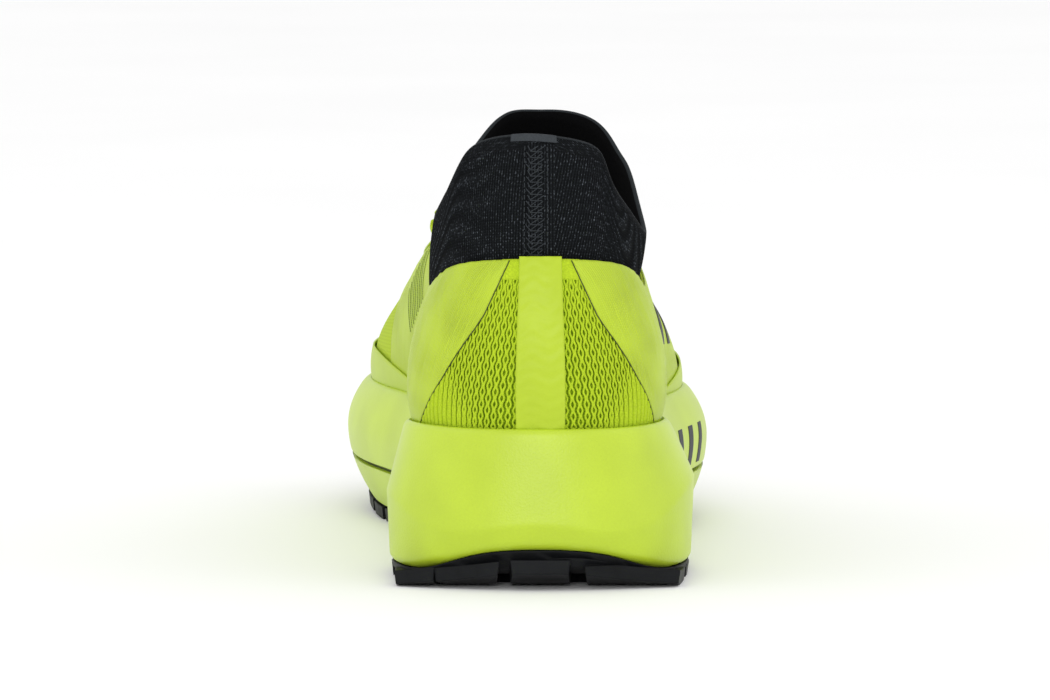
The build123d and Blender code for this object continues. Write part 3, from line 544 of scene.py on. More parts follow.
def yarn(name, colour, pitch=0.5, roughness=0.8):
    """Polyester filament yarn, textured: matt strands with a slight sheen and a slanted twist."""
    made, tree, surface = material(name, colour, roughness, Specular_IOR_Level=0.2)
    flat = add(tree, "UVMap", uv_map="mm").outputs["UV"]
    split = add(tree, "SeparateXYZ", {0: flat}).outputs
    lean = add(tree, "Math", {0: split[0], 1: split[1]}, operation="ADD").outputs[0]
    turn = add(tree, "Math", {0: lean, 1: 2 * math.pi / pitch}, operation="MULTIPLY").outputs[0]
    twist = add(tree, "Math", {0: turn}, operation="SINE").outputs[0]
    place = add(tree, "TexCoord").outputs["Object"]
    fuzz = add(tree, "TexNoise", {"Vector": place, "Scale": 2.0 / MM, "Detail": 3.0}).outputs[0]
    fuzzy = add(tree, "MapRange", {0: fuzz, 1: 0.3, 2: 0.7}).outputs[0]
    tones = {0: fuzzy, 6: shade(colour, 0.85), 7: shade(colour, 1.12)}
    tone = add(tree, "Mix", tones, data_type="RGBA").outputs[2]
    relief = add(tree, "Bump", {"Strength": 0.5, "Distance": 0.08 * MM, "Height": twist}).outputs[0]
    finish(tree, surface, tone, relief)
    return made


def tricot(name, colour, dark, pitch=0.9):
    """Tricot cloth, warp knitted: a plain matt backing with tiny dark gaps between its wales."""
    made, tree, surface = material(name, colour, 0.9, Specular_IOR_Level=0.1)
    flat = add(tree, "UVMap", uv_map="mm").outputs["UV"]
    stitches = {"Vector": flat, "Scale": 1 / pitch, "Randomness": 0.25}
    cell = add(tree, "TexVoronoi", stitches).outputs["Distance"]
    gaps = add(tree, "MapRange", {0: cell, 1: 0.25, 2: 0.55}).outputs[0]
    tone = add(tree, "Mix", {0: gaps, 6: colour, 7: dark}, data_type="RGBA").outputs[2]
    relief = add(tree, "Bump", {"Strength": 0.6, "Distance": -0.2 * MM, "Height": cell}).outputs[0]
    finish(tree, surface, tone, relief)
    return made


def engineered_mesh(name, colour, dark):
    """Engineered mesh, knitted in one piece: close wales with rows of small breathing holes."""
    made, tree, surface = material(name, colour, 0.75, Specular_IOR_Level=0.2)
    flat = add(tree, "UVMap", uv_map="mm").outputs["UV"]
    split = add(tree, "SeparateXYZ", {0: flat}).outputs
    wale = add(tree, "Math", {0: split[0], 1: 2 * math.pi / 1.6}, operation="MULTIPLY").outputs[0]
    course = add(tree, "Math", {0: split[1], 1: 2 * math.pi / 2.6}, operation="MULTIPLY").outputs[0]
    one = add(tree, "Math", {0: wale}, operation="SINE").outputs[0]
    other = add(tree, "Math", {0: course}, operation="SINE").outputs[0]
    holes = add(tree, "Math", {0: one, 1: other}, operation="MULTIPLY").outputs[0]
    open_part = add(tree, "MapRange", {0: holes, 1: 0.55, 2: 0.9}).outputs[0]
    tone = add(tree, "Mix", {0: open_part, 6: colour, 7: dark}, data_type="RGBA").outputs[2]
    fuzz = add(tree, "TexNoise", {"Vector": flat, "Scale": 1.2, "Detail": 3.0}).outputs[0]
    fuzzy = add(tree, "MapRange", {0: fuzz, 1: 0.3, 2: 0.7, 4: 0.25}).outputs[0]
    lit = add(tree, "Mix", {0: fuzzy, 6: tone, 7: shade(colour, 1.15)}, data_type="RGBA").outputs[2]
    relief = add(tree, "Bump", {"Strength": 0.5, "Distance": -0.25 * MM, "Height": holes}).outputs[0]
    finish(tree, surface, lit, relief)
    return made


def rib_knit(name, colour, speck, wale=0.95, course=0.85):
    """Elastic rib knit, fine gauge: dark wales side by side, painted darker in their valleys and lighter on
    their crowns as shade and light, with painted glints of single filaments on the crowns.
    """
    made, tree, surface = material(name, colour, 0.9, Specular_IOR_Level=0.08)
    flat = add(tree, "UVMap", uv_map="mm").outputs["UV"]
    split = add(tree, "SeparateXYZ", {0: flat}).outputs
    across = add(tree, "Math", {0: split[0], 1: 2 * math.pi / wale}, operation="MULTIPLY").outputs[0]
    up = add(tree, "Math", {0: split[1], 1: 2 * math.pi / course}, operation="MULTIPLY").outputs[0]
    column = add(tree, "Math", {0: across}, operation="COSINE").outputs[0]
    climb = add(tree, "Math", {0: column, 1: 1.2, 2: up}, operation="MULTIPLY_ADD").outputs[0]
    loop = add(tree, "Math", {0: climb}, operation="SINE").outputs[0]
    height = add(tree, "Math", {0: loop, 1: 0.4, 2: column}, operation="MULTIPLY_ADD").outputs[0]
    narrow = add(tree, "VectorMath", {0: flat, 1: (2.3, 1.2, 1)}, operation="MULTIPLY").outputs[0]
    grain = add(tree, "TexNoise", {"Vector": narrow, "Scale": 1.0, "Detail": 2.0}).outputs[0]
    # painted highlight: glints of single filaments, light specks kept to the rib crowns
    painted_glint_spots = add(tree, "MapRange", {0: grain, 1: 0.55, 2: 0.74, 4: 0.8}).outputs[0]
    crown = add(tree, "MapRange", {0: height, 1: -0.2, 2: 1.0}).outputs[0]
    glint = add(tree, "Math", {0: painted_glint_spots, 1: crown}, operation="MULTIPLY").outputs[0]
    # painted shade and light: the knit is darker in the rib valleys and lighter on the crowns
    raised = add(tree, "MapRange", {0: height, 1: -1.4, 2: 1.4}).outputs[0]
    tones = {0: raised, 6: shade(colour, 0.4), 7: shade(colour, 1.9)}
    tone = add(tree, "Mix", tones, data_type="RGBA").outputs[2]
    lit = add(tree, "Mix", {0: glint, 6: tone, 7: speck}, data_type="RGBA").outputs[2]
    relief = add(tree, "Bump", {"Strength": 0.6, "Distance": 0.12 * MM, "Height": height}).outputs[0]
    finish(tree, surface, lit, relief)
    return made


def screen_ink(name, colour):
    """Screen-printed ink: a thin matt coat, slightly uneven over the ribs under it."""
    made, tree, surface = material(name, colour, 0.6)
    place = add(tree, "TexCoord").outputs["Object"]
    grain = add(tree, "TexNoise", {"Vector": place, "Scale": 1.4 / MM, "Detail": 3.0}).outputs[0]
    thin = add(tree, "MapRange", {0: grain, 1: 0.3, 2: 0.7}).outputs[0]
    tone = add(tree, "Mix", {0: thin, 6: colour, 7: shade(colour, 1.7)}, data_type="RGBA").outputs[2]
    relief = add(tree, "Bump", {"Strength": 0.3, "Distance": 0.1 * MM, "Height": grain}).outputs[0]
    finish(tree, surface, tone, relief)
    return made


def felt(name, colour, scale=1.4):
    """Needled or brushed textile: matt, with short fibres lying every way."""
    made, tree, surface = material(name, colour, 0.95, Specular_IOR_Level=0.1)
    place = add(tree, "TexCoord").outputs["Object"]
    fibre = add(tree, "TexNoise", {"Vector": place, "Scale": scale / MM, "Detail": 6.0}).outputs[0]
    tuft = add(tree, "MapRange", {0: fibre, 1: 0.3, 2: 0.7}).outputs[0]
    tones = {0: tuft, 6: shade(colour, 0.7), 7: shade(colour, 1.25)}
    tone = add(tree, "Mix", tones, data_type="RGBA").outputs[2]
    relief = add(tree, "Bump", {"Strength": 0.5, "Distance": 0.3 * MM, "Height": fibre}).outputs[0]
    finish(tree, surface, tone, relief)
    return made


finishes = {}


def make_finishes():
    shoe = bpy.context.scene.shoe_colours
    neon = (*shoe.film, 1.0)
    foam = (*shoe.foam, 1.0)
    finishes.update(
        foam=moulded_foam("eva_foam_moulded", foam),
        # painted shade: the lower foam is the foam colour made 3% darker, as shade on its lower wall
        foam_lower=moulded_foam("eva_foam_moulded_lower_shaded", shade(foam, 0.97)),
        rubber=pressed_rubber("carbon_rubber_pressed", (*shoe.rubber, 1.0)),
        film=welded_film("tpu_film_ribbed", neon, bpy.context.scene.shoe_sizes.rib_pitch / MM, 0.14),
        # painted shade: the smooth film is the film colour made 3% darker, offsetting the stronger light on
        # the backstay facing the camera
        trim=welded_film("tpu_film_smooth_shaded", shade(neon, 0.97), 40.0, 0.14, ribbed=0.0),
        strand=yarn("polyester_mesh_yarn", linear("#B5CF26")),
        backing=tricot("tricot_backing", linear("#86A312"), linear("#5E7A08")),
        plain_mesh=engineered_mesh("engineered_mesh", shade(neon, 0.93), linear("#8CA624")),
        # the second colour is the painted glint on the collar knit's rib crowns
        knit=rib_knit("rib_knit_elastic", (*shoe.knit, 1.0), linear("#6E747C")),
        knit_inside=felt("brushed_knit_inside", linear("#050506")),
        thread=yarn("coverstitch_thread", linear("#33373B"), 0.4, 0.7),
        # the rolled rim is a real selvedge, coloured lighter than the knit as a painted highlight along the
        # collar's rim
        edge=yarn("knit_selvedge_painted_highlight", linear("#24282B"), 0.6, 0.85),
        tape=yarn("woven_tape", linear("#3A3E42"), 0.8, 0.85),
        ink=screen_ink("screen_ink_black", linear("#202327")),
        # painted shade: a dark olive for the film's cut edge at the heel windows, standing in for the shade
        # along the film's step
        cut=screen_ink("film_cut_edge", linear("#2E3A08")),
        vent=tricot("mesh_behind_vents", linear("#93A64E"), linear("#6F8238"), 0.7),
        lace=yarn("polyester_braid", linear("#24282C"), 1.3, 0.75),
        webbing=yarn("woven_webbing", shade(neon, 0.92), 0.7, 0.8),
        sleeve=screen_ink("acetate_aglet", linear("#15171A")),
        plate=screen_ink("glass_filled_plate", linear("#3E4A10")),
        felt=felt("strobel_felt", linear("#8E9A66")),
        lining=felt("brushed_lining", linear("#0F1113")),
        # the second colour is the painted glint on the sockliner cloth's rib crowns
        cover=rib_knit("sockliner_cloth", linear("#16181B"), linear("#50555C"), 1.2, 1.2),
        sock_foam=felt("open_cell_foam", linear("#3A4046"), 0.8),
        stiffener=felt("thermoformed_counter", linear("#C9CDB8"), 0.5),
    )


# ---- settings ----------------------------------------------------------------------------------
def colour_property(name, code, words):
    return FloatVectorProperty(
        name=name, description=words, default=linear(code)[:3], subtype="COLOR", size=3, min=0, max=1
    )


class ShoeColours(bpy.types.PropertyGroup):
    foam: colour_property("Foam", "#B9D130", "Colour of the midsole foam")
    film: colour_property("Film", "#B7CF2E", "Colour of the upper's films and mesh")
    knit: colour_property("Knit", "#101214", "Colour of the collar and tongue")
    rubber: colour_property("Rubber", "#0C0D0F", "Colour of the outsole")


def length_property(name, millimetres, words):
    return FloatProperty(
        name=name, description=words, default=millimetres * MM,
        min=0.3 * MM, max=8 * MM, unit="LENGTH", precision=5,
    )


class ShoeSizes(bpy.types.PropertyGroup):
    rib_pitch: length_property("Rib pitch", 0.78, "Distance between the ribs under the film")
    chain_pitch: length_property("Chain pitch", 2.5, "Distance between the heel mesh's columns")
    chain_period: length_property("Chain period", 3.9, "Distance between the heel mesh's holes")
    wale: length_property("Wale", 0.95, "Width of one rib of the collar's knit")


# ---- pieces ------------------------------------------------------------------------------------
CAMERA_BACK = 2.5  # metres behind the heel
CAMERA_HEIGHT = 0.3036
CAMERA_LENS = 291.4


class ShoeStage(bpy.types.Operator):
    """Camera, floor and soft studio light"""

    bl_idname = "shoe.stage"
    bl_label = "Stage"

    def execute(self, context):
        data = bpy.data.cameras.new("camera")
        data.sensor_width = 36
        data.lens = CAMERA_LENS
        data.clip_end = 50
        camera = bpy.data.objects.new("camera", data)
        camera.location = (SHIFT[0] * MM, SHIFT[1] * MM - CAMERA_BACK, CAMERA_HEIGHT)
        look = Vector((-0.00183, 1.0, -0.0926))
        camera.rotation_euler = look.to_track_quat("-Z", "Y").to_euler()
        context.scene.collection.objects.link(camera)
        context.scene.camera = camera
        made, tree, surface = material("painted_studio_floor", linear("#FAFAFA"), 0.9)
        place = add(tree, "TexCoord").outputs["Object"]
        mottle = add(tree, "TexNoise", {"Vector": place, "Scale": 4.0}).outputs[0]
        brushed = {0: mottle, 6: linear("#F7F7F7"), 7: linear("#FDFDFD")}
        tree.links.new(add(tree, "Mix", brushed, data_type="RGBA").outputs[2], surface.inputs["Base Color"])
        mesh = bpy.data.meshes.new("floor")
        reach = 6.0
        corners = [(-reach, -reach, 0), (reach, -reach, 0), (reach, reach, 0), (-reach, reach, 0)]
        mesh.from_pydata(corners, [], [(0, 1, 2, 3)])
        mesh.materials.append(made)
        floor = bpy.data.objects.new("floor", mesh)
        context.scene.collection.objects.link(floor)
        lights = [
            ("key", (-0.1, -2.9, 0.95), 15, 0.7),
            ("fill", (1.9, -0.6, 1.4), 4, 1.8),
            ("side", (-1.9, -0.6, 1.4), 4, 1.8),
        ]
        for name, place, power, size in lights:
            lamp = bpy.data.lights.new(name, "AREA")
            lamp.energy = power
            lamp.size = size
            lamp_object = bpy.data.objects.new(name, lamp)
            lamp_object.location = place
            aim = Vector((0, 0, 0.06)) - Vector(place)
            lamp_object.rotation_euler = aim.to_track_quat("-Z", "Y").to_euler()
            context.scene.collection.objects.link(lamp_object)
        world = bpy.data.worlds.new("studio")
        world.use_nodes = True
        background = world.node_tree.nodes["Background"]
        background.inputs[0].default_value = (1, 1, 1, 1)
        background.inputs[1].default_value = 1.0
        context.scene.world = world
        context.scene.view_settings.view_transform = "Standard"
        return {"FINISHED"}


GROOVE_ROUND = 0.7
RIM_LEAN = 0.62  # width of the rim's rounding against its height
BLOCK_ROUND = 2.6
SPINE_ENDS = (30.0, 270.0)


def spine(ring, height):
    """The points of a closed ring drawn in to the shoe's middle line, to close its face."""
    y = np.clip(ring[:, 1], SPINE_ENDS[0], SPINE_ENDS[1])
    x = CENTRE_X + (ring[:, 0] - CENTRE_X) * 0.04
    return np.column_stack([x, y, height(y)])


def foam_sections(u, low, high, top_round=RIM_ROUND, low_round=0.6):
    """Rows of wall points from the foam's foot to its rim, then over the lip into the bucket."""
    rows = []
    y = outline(u)[:, 1]
    bottom = low(y)
    top = high(y)
    rows.append(sole_wall(u, bottom, 7.0 + 0 * u))
    for a in np.linspace(0, np.pi / 2, 7):
        rows.append(sole_wall(u, bottom + low_round * (1 - np.cos(a)), low_round * (1 - np.sin(a)) + 0 * u))
    for s in np.linspace(0, 1, 44)[1:-1]:
        z = bottom + low_round + (top - top_round - bottom - low_round) * s
        rows.append(sole_wall(u, z))
    for a in np.linspace(0, np.pi / 2, 6):
        inset = top_round * (1 - np.cos(a)) * RIM_LEAN
        rows.append(sole_wall(u, top - top_round * (1 - np.sin(a)), inset + 0 * u))
    return rows


class ShoeFoam(bpy.types.Operator):
    """Upper and lower midsole foam with the groove between them"""

    bl_idname = "shoe.foam"
    bl_label = "Midsole foam"

    def execute(self, context):
        half_gap = PLATE_THICK / 2 + GLUE_LINE
        u = np.linspace(0, 1, 420, endpoint=False)
        y = outline(u)[:, 1]
        low = lambda y: np.maximum(foam_bottom(y), split_height(y) + half_gap)
        heel = np.clip((split_height(np.clip(y, 50, None)) - foam_bottom(y)) / 4 + 1, 0, 1)
        heel = np.where(y < 50, 0, heel)
        corner = GROOVE_ROUND * heel + BLOCK_ROUND * (1 - heel)
        rows = foam_sections(u, low, rim_height, low_round=corner)
        # over the lip and down the bucket's wall
        inner = [skin(u, 0 * u + v, -0.25) for v in (0.0, -0.3, -0.95)]
        inner[0][:, 2] = rows[-1][:, 2]
        rows += inner
        bed = spine(inner[-1], bed_height)
        rows.append(inner[-1] * 0.5 + bed * 0.5)
        rows.append(bed)
        rows.insert(0, spine(rows[0], low))
        grid = np.stack(rows, 1)
        piece = new_piece("midsole_top_foam", grid.reshape(-1, 3), ring_faces(len(u), len(rows)))
        ride(piece, "foam", finishes["foam"], "midsole_top")

        half = np.linspace(0, 1, 1200)
        y = outline(half)[:, 1]
        thick = split_height(y) - half_gap - foam_bottom(y)
        inside = half[(thick > 0.1) & (y > 50)]
        u = np.linspace(inside.min(), inside.max(), 380)
        y = outline(u)[:, 1]
        top = lambda y: split_height(y) - half_gap
        rows = foam_sections(u, foam_bottom, top, top_round=0.0, low_round=0.0)
        thin = np.clip((top(y) - foam_bottom(y)) / 3, 0, 1)
        edge = GROOVE_ROUND * thin
        for k, a in enumerate(np.linspace(0, np.pi / 2, 5)):
            rows[-5 + k] = sole_wall(u, top(y) - edge * (1 - np.sin(a)), edge * (1 - np.cos(a)))
        rows.append(spine(rows[-1], top))
        rows.insert(0, spine(rows[0], foam_bottom))
        grid = np.stack(rows, 1)
        piece = new_piece("midsole_lower_foam", grid.reshape(-1, 3), grid_faces(len(u), len(rows)))
        # the lower foam takes the foam colour darkened as painted shade
        ride(piece, "foam_lower", finishes["foam_lower"], "midsole_bottom")
        return {"FINISHED"}


SKIRT_HEIGHT = 4.6  # how far the heel rubber's edge reaches down from the foam, mm
SKIRT_DRAFT = 1.6  # how far its foot stands further in than its top
SKIRT_END = 0.078  # loop place where it runs out into the tread


def rubber_skirt(u, v, depth=0.0):
    """The heel rubber's upright edge: v is 0 at its foot and 1 against the foam."""
    low = foam_bottom(outline(u)[:, 1])
    points = sole_wall(u, low, RUBBER_INSET + SKIRT_DRAFT * (1 - v) + np.ravel(depth))
    points[:, 2] = low - GLUE_LINE - SKIRT_HEIGHT * (1 - v)
    return points


class ShoeHeelRubber(bpy.types.Operator):
    """Edge of the heel rubber, which follows the foam's arch in bevelled blocks"""

    bl_idname = "shoe.heel_rubber"
    bl_label = "Heel rubber edge"

    def execute(self, context):
        def blocks(u, v):
            return 0.35 * np.clip(4 * np.cos(2 * np.pi * u / 0.039 + 2.0 * v), -1, 1) * (1.2 - v)

        skirt = panel("heel_rubber_edge", rubber_skirt, const(-SKIRT_END), const(SKIRT_END),
                      const(0.0), const(1.0), (0.3, 5.0), 240, 14, blocks)
        ride(skirt, "rubber", finishes["rubber"])
        return {"FINISHED"}


class ShoeCadFinishes(bpy.types.Operator):
    """Materials of the CAD pieces that stay as they are"""

    bl_idname = "shoe.cad_finishes"
    bl_label = "Rubber, plates and inner pieces"

    def execute(self, context):
        finish_of = {
            "outsole_heel": "rubber", "outsole_midfoot": "rubber", "outsole_forefoot": "rubber",
            "plate_lateral": "plate", "plate_medial": "plate", "strobel_board": "felt",
            "heel_counter": "stiffener", "aglets": "sleeve",
        }
        for node, finish in finish_of.items():
            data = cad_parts[node].data
            data.materials.clear()
            data.materials.append(finishes[finish])
            if not data.uv_layers.get("mm"):
                place = np.zeros(len(data.vertices) * 3)
                data.vertices.foreach_get("co", place)
                flat = place.reshape(-1, 3)[:, :2] / MM
                corners = np.zeros(len(data.loops), int)
                data.loops.foreach_get("vertex_index", corners)
                layer = data.uv_layers.new(name="mm")
                layer.data.foreach_set("uv", flat[corners].astype(np.float32).ravel())
        return {"FINISHED"}


SOCK_FOAM = (1.6, 5.8)  # the sockliner's foam, from and to this height over the foot bed
SOCK_CLOTH = (5.9, 6.4)
SOCK_CROWN = 0.8  # how far its edge sinks under its middle
SOCK_CHANNEL = (0.13, 0.35)  # the pressed line inside its edge: share of the way in, depth


def sock_ring(u, inset, height, inwards):
    """A ring round the foot bed: height over the bed, drawn inwards to the middle line."""
    middle = outline(u)
    lean = swell(u)[:, 0] / swell(u)[:, 1]
    drop = rim_height(middle[:, 1]) - bed_height(middle[:, 1]) - height
    edge = middle - outward(u) * (wall_shape(u)[:, 0] + lean * drop + inset)[:, None]
    place = edge + (spine(edge, bed_height)[:, :2] - edge) * inwards
    return np.column_stack([place, bed_height(place[:, 1]) + height])


def sock_layer(name, heights, inset, rounding):
    """A closed crowned pad between two heights, its edge pulled in and its channel pressed."""
    u = np.linspace(0, 1, 360, endpoint=False)
    low, high = heights
    lip = high - SOCK_CROWN
    low_edge = low if lip - low > 1 else low - SOCK_CROWN
    rows = []
    for t in np.linspace(1, 0, 9)[:-1]:
        rows.append(sock_ring(u, inset + rounding, low_edge + (low - low_edge) * (1 - (1 - t) ** 4), t))
    for a in np.linspace(0, np.pi, 9):
        height = low_edge + (lip - low_edge) * (1 - np.cos(a)) / 2
        rows.append(sock_ring(u, inset + rounding * (1 - np.sin(a)), height, 0.0))
    place, depth = SOCK_CHANNEL
    for t in (0.03, 0.06, 0.09, 0.11, 0.12, 0.13, 0.14, 0.15, 0.18, 0.25, 0.35, 0.5, 0.65, 0.8, 0.9, 1.0):
        channel = depth * np.exp(-(((t - place) / 0.012) ** 2))
        rows.append(sock_ring(u, inset + rounding, lip + SOCK_CROWN * (1 - (1 - t) ** 4) - channel, t))
    points = np.stack(rows, 1).reshape(-1, 3)
    return new_piece(name, points, ring_faces(len(u), len(rows)), points[:, :2])


class ShoeSockliner(bpy.types.Operator):
    """Loose sockliner: soft foam with a crowned top, and the cloth bonded over it"""

    bl_idname = "shoe.sockliner"
    bl_label = "Sockliner"

    def execute(self, context):
        pad = sock_layer("sockliner_foam_pad", SOCK_FOAM, 5.7, 0.9)
        ride(pad, "sock_foam", finishes["sock_foam"], "sockliner", body="liner")
        cloth = sock_layer("sockliner_top_cloth", SOCK_CLOTH, 5.9, 0.3)
        ride(cloth, "sock_cover", finishes["cover"], "sockliner_cover", body="liner")
        return {"FINISHED"}


# the mesh window's edge, from the rim up to the top: share of height, loop place
WINDOW = ((-0.25, 0.0830), (0.0, 0.0780), (0.10, 0.0690), (0.30, 0.0530), (0.585, 0.0345),
          (0.66, 0.0305), (0.78, 0.0265), (0.90, 0.0225), (1.0, 0.0188))


def window_edge(v):
    place, value = zip(*WINDOW)
    return np.interp(v, place, value)


class ShoeUpper(bpy.types.Operator):
    """Mesh shell of the upper and the backing of its heel windows"""

    bl_idname = "shoe.upper"
    bl_label = "Upper shell"

    def execute(self, context):
        foot = const(-0.9)
        top = const(1.0)
        shell = panel("upper_shell", skin, const(0.1), const(0.9), foot, top, SHELL, 320, 60)
        ride(shell, "mesh_front", finishes["plain_mesh"], "quarter_shell_lateral",
             "quarter_shell_medial", "vamp_shell")
        for side, node in ((1, "heel_mesh_lateral"), (-1, "heel_mesh_medial")):
            ends = sorted((0.0 * side, 0.1 * side))
            back = panel(f"{node}_backing", skin, const(ends[0]), const(ends[1]), foot, top, BACKING, 60, 60)
            ride(back, "mesh", finishes["backing"], node)
        heel = panel("heel_lining_cloth", skin, const(-0.15), const(0.15), foot, const(0.62), LINING, 90, 30)
        ride(heel, "lining", finishes["lining"], "heel_lining")
        toe = panel("toe_lining_cloth", skin, const(0.303), const(0.697), foot, const(0.86),
                    TOE_LINING, 160, 30)
        ride(toe, "lining", finishes["lining"], "vamp_lining")
        return {"FINISHED"}


class ShoeWindows(bpy.types.Operator):
    """Open chain mesh in the two heel windows"""

    bl_idname = "shoe.windows"
    bl_label = "Heel mesh"

    def execute(self, context):
        sizes = context.scene.shoe_sizes
        period = sizes.chain_period / MM
        pitch = sizes.chain_pitch / MM / ROUND
        for side, name in ((1, "lateral"), (-1, "medial")):
            lines = []
            ups = []
            thick = []
            columns = 23
            for k in range(columns):
                foot_place = 0.0075 + k * pitch
                for strand in (-1, 1):
                    v = np.linspace(-0.12, 0.88, 300)
                    squeeze = 1 - 0.22 * np.clip(v, 0, 1)
                    u0 = foot_place * squeeze
                    height = v * 52
                    wave = 0.5 + 0.5 * np.cos(2 * np.pi * (height / period + 0.5 * (k % 2)))
                    closing = np.clip((u0 - 0.024 - 0.06 * v) / 0.024, 0, 1)
                    offset = ((0.20 + 0.60 * wave**1.2) * (1 - closing) + 0.34 * closing) * strand
                    u = (u0 + offset / ROUND) * side
                    keep = np.abs(u0) < window_edge(v) + 0.004
                    if keep.sum() < 12:
                        continue
                    last = np.where(keep)[0].max() + 1
                    points = skin(u[:last], v[:last], 1.12 + 0 * u[:last])
                    out = unit(skin(u[:last], v[:last], 0.0) - skin(u[:last], v[:last], 1.0))
                    lines.append(points)
                    ups.append(out)
                    thick.append((0.34 + 0.30 * closing + 0.05 * (1 - wave))[:last])
            mesh = tubes(f"heel_mesh_chains_{name}", lines, thick, 6, 0.8, ups)
            ride(mesh, "mesh", finishes["strand"])
            ends = sorted((0.0 * side, 0.024 * side))
            band = panel(f"heel_mesh_top_band_{name}", skin, const(ends[0]), const(ends[1]),
                         const(0.87), const(1.0), (0.85, 1.45), 16, 8)
            ride(band, "mesh", finishes["strand"])
        return {"FINISHED"}


class ShoeFilms(bpy.types.Operator):
    """Ribbed film overlays, with a dark tube at the cut edge along each heel window, its colour painted shade
    """

    bl_idname = "shoe.films"
    bl_label = "Film overlays"

    def execute(self, context):
        low = const(-0.25)
        high = const(0.995)
        v_of = lambda s: -0.25 + (0.995 + 0.25) * s

        def crumple(u, v):
            return 0.10 * np.sin(u * 610 + 3 * np.sin(v * 9)) * np.sin(v * 7 + u * 90) * np.clip(v, 0, 1)

        for side, name in ((1, "lateral"), (-1, "medial")):
            near = lambda s: window_edge(v_of(s))
            far = const(0.30)
            if side > 0:
                film = panel(f"quarter_film_{name}", skin, near, far, low, high, FILM, 180, 90, crumple)
            else:
                film = panel(f"quarter_film_{name}", skin, lambda s: 1 - far(s),
                             lambda s: 1 - near(s), low, high, FILM, 180, 90, crumple)
            ride(film, "film", finishes["film"], f"quarter_overlay_{name}")
            v = np.linspace(-0.05, 0.99, 120)
            u = (window_edge(v) - 0.0002) * side
            line = skin(u, v, 0.78 + 0 * u)
            out = unit(skin(u, v, 0.0) - skin(u, v, 1.0))
            # the film's cut edge as a thin tube, coloured dark as painted shade along the step
            edge = tubes(f"window_cut_edge_{name}", [line], 0.2, 6, 1.0, [out])
            ride(edge, "print", finishes["cut"])
        return {"FINISHED"}


class ShoeTrims(bpy.types.Operator):
    """Backstay, toe cap, mudguards and eyestays of smooth film"""

    bl_idname = "shoe.trims"
    bl_label = "Smooth films"

    def execute(self, context):
        def crinkle(u, v):
            return 0.09 * np.sin(v * 70 + 2 * np.sin(u * 400)) * np.sin(v * 23 + 1.0)

        low = const(-0.25)
        flare = lambda s: 0.0098 + 0.0028 * s
        stay = panel("heel_backstay_film", skin, lambda s: -flare(s), flare, low, const(1.01), BACKSTAY,
                     24, 140, crinkle)
        ride(stay, "trim", finishes["trim"], "heel_backstay")
        toe = panel("toe_cap_film", skin, const(0.42), const(0.594), low,
                    through(0.3, 0.46, 0.46, 0.3), TRIM, 90, 24)
        ride(toe, "trim", finishes["trim"], "toe_cap")
        outer = panel("mudguard_film_lateral", skin, const(0.215), const(0.421), low,
                      through(-0.1, 0.18, 0.3), TRIM, 120, 20)
        ride(outer, "trim", finishes["trim"], "mudguard_lateral")
        inner = panel("mudguard_film_medial", skin, const(0.593), const(0.79), low,
                      through(0.3, 0.18, -0.1), TRIM, 120, 20)
        ride(inner, "trim", finishes["trim"], "mudguard_medial")
        for name, ends in (("lateral", (0.2, 0.408)), ("medial", (0.598, 0.8))):
            stay = panel(f"eyestay_film_{name}", skin, const(ends[0]), const(ends[1]), const(0.84),
                         const(1.005), TRIM, 90, 12)
            ride(stay, "trim", finishes["trim"], f"eyestay_{name}")
        return {"FINISHED"}


class ShoeCollar(bpy.types.Operator):
    """Knit collar with its ribs, rolled rim and dark inside, and the tongue"""

    bl_idname = "shoe.collar"
    bl_label = "Collar and tongue"

    def execute(self, context):
        wales = round(COLLAR_ROUND / context.scene.shoe_sizes.wale * MM)

        def ribs(u, v):
            return 0.10 * np.cos(2 * np.pi * u * wales) * np.clip((1 - v) * 12, 0, 1)

        outer = panel("knit_collar_outer", collar, const(0.0), const(1.0), const(0.0),
                      const(0.995), (0.0, 0.7), wales * 4 + 1, 26, ribs)
        ride(outer, "knit", finishes["knit"], "knit_collar")
        inner = panel("knit_collar_inner", collar, const(0.0), const(1.0), const(0.0), const(0.995),
                      (0.75, 1.45), 300, 12)
        ride(inner, "lining", finishes["knit_inside"])
        u = np.linspace(0, 1, 600)
        rim = collar(u, 0 * u + 0.992, 0.7 + 0 * u)
        # the rolled rim, in the lighter selvedge colour that paints the rim's highlight
        roll = tubes("knit_collar_rolled_rim", [rim], 0.7, 8)
        ride(roll, "knit", finishes["edge"])
        piece = panel("tongue_knit", tongue, const(-1.0), const(1.0), const(0.0), const(1.0), KNIT, 90, 90)
        ride(piece, "knit", finishes["knit"], "tongue")
        return {"FINISHED"}


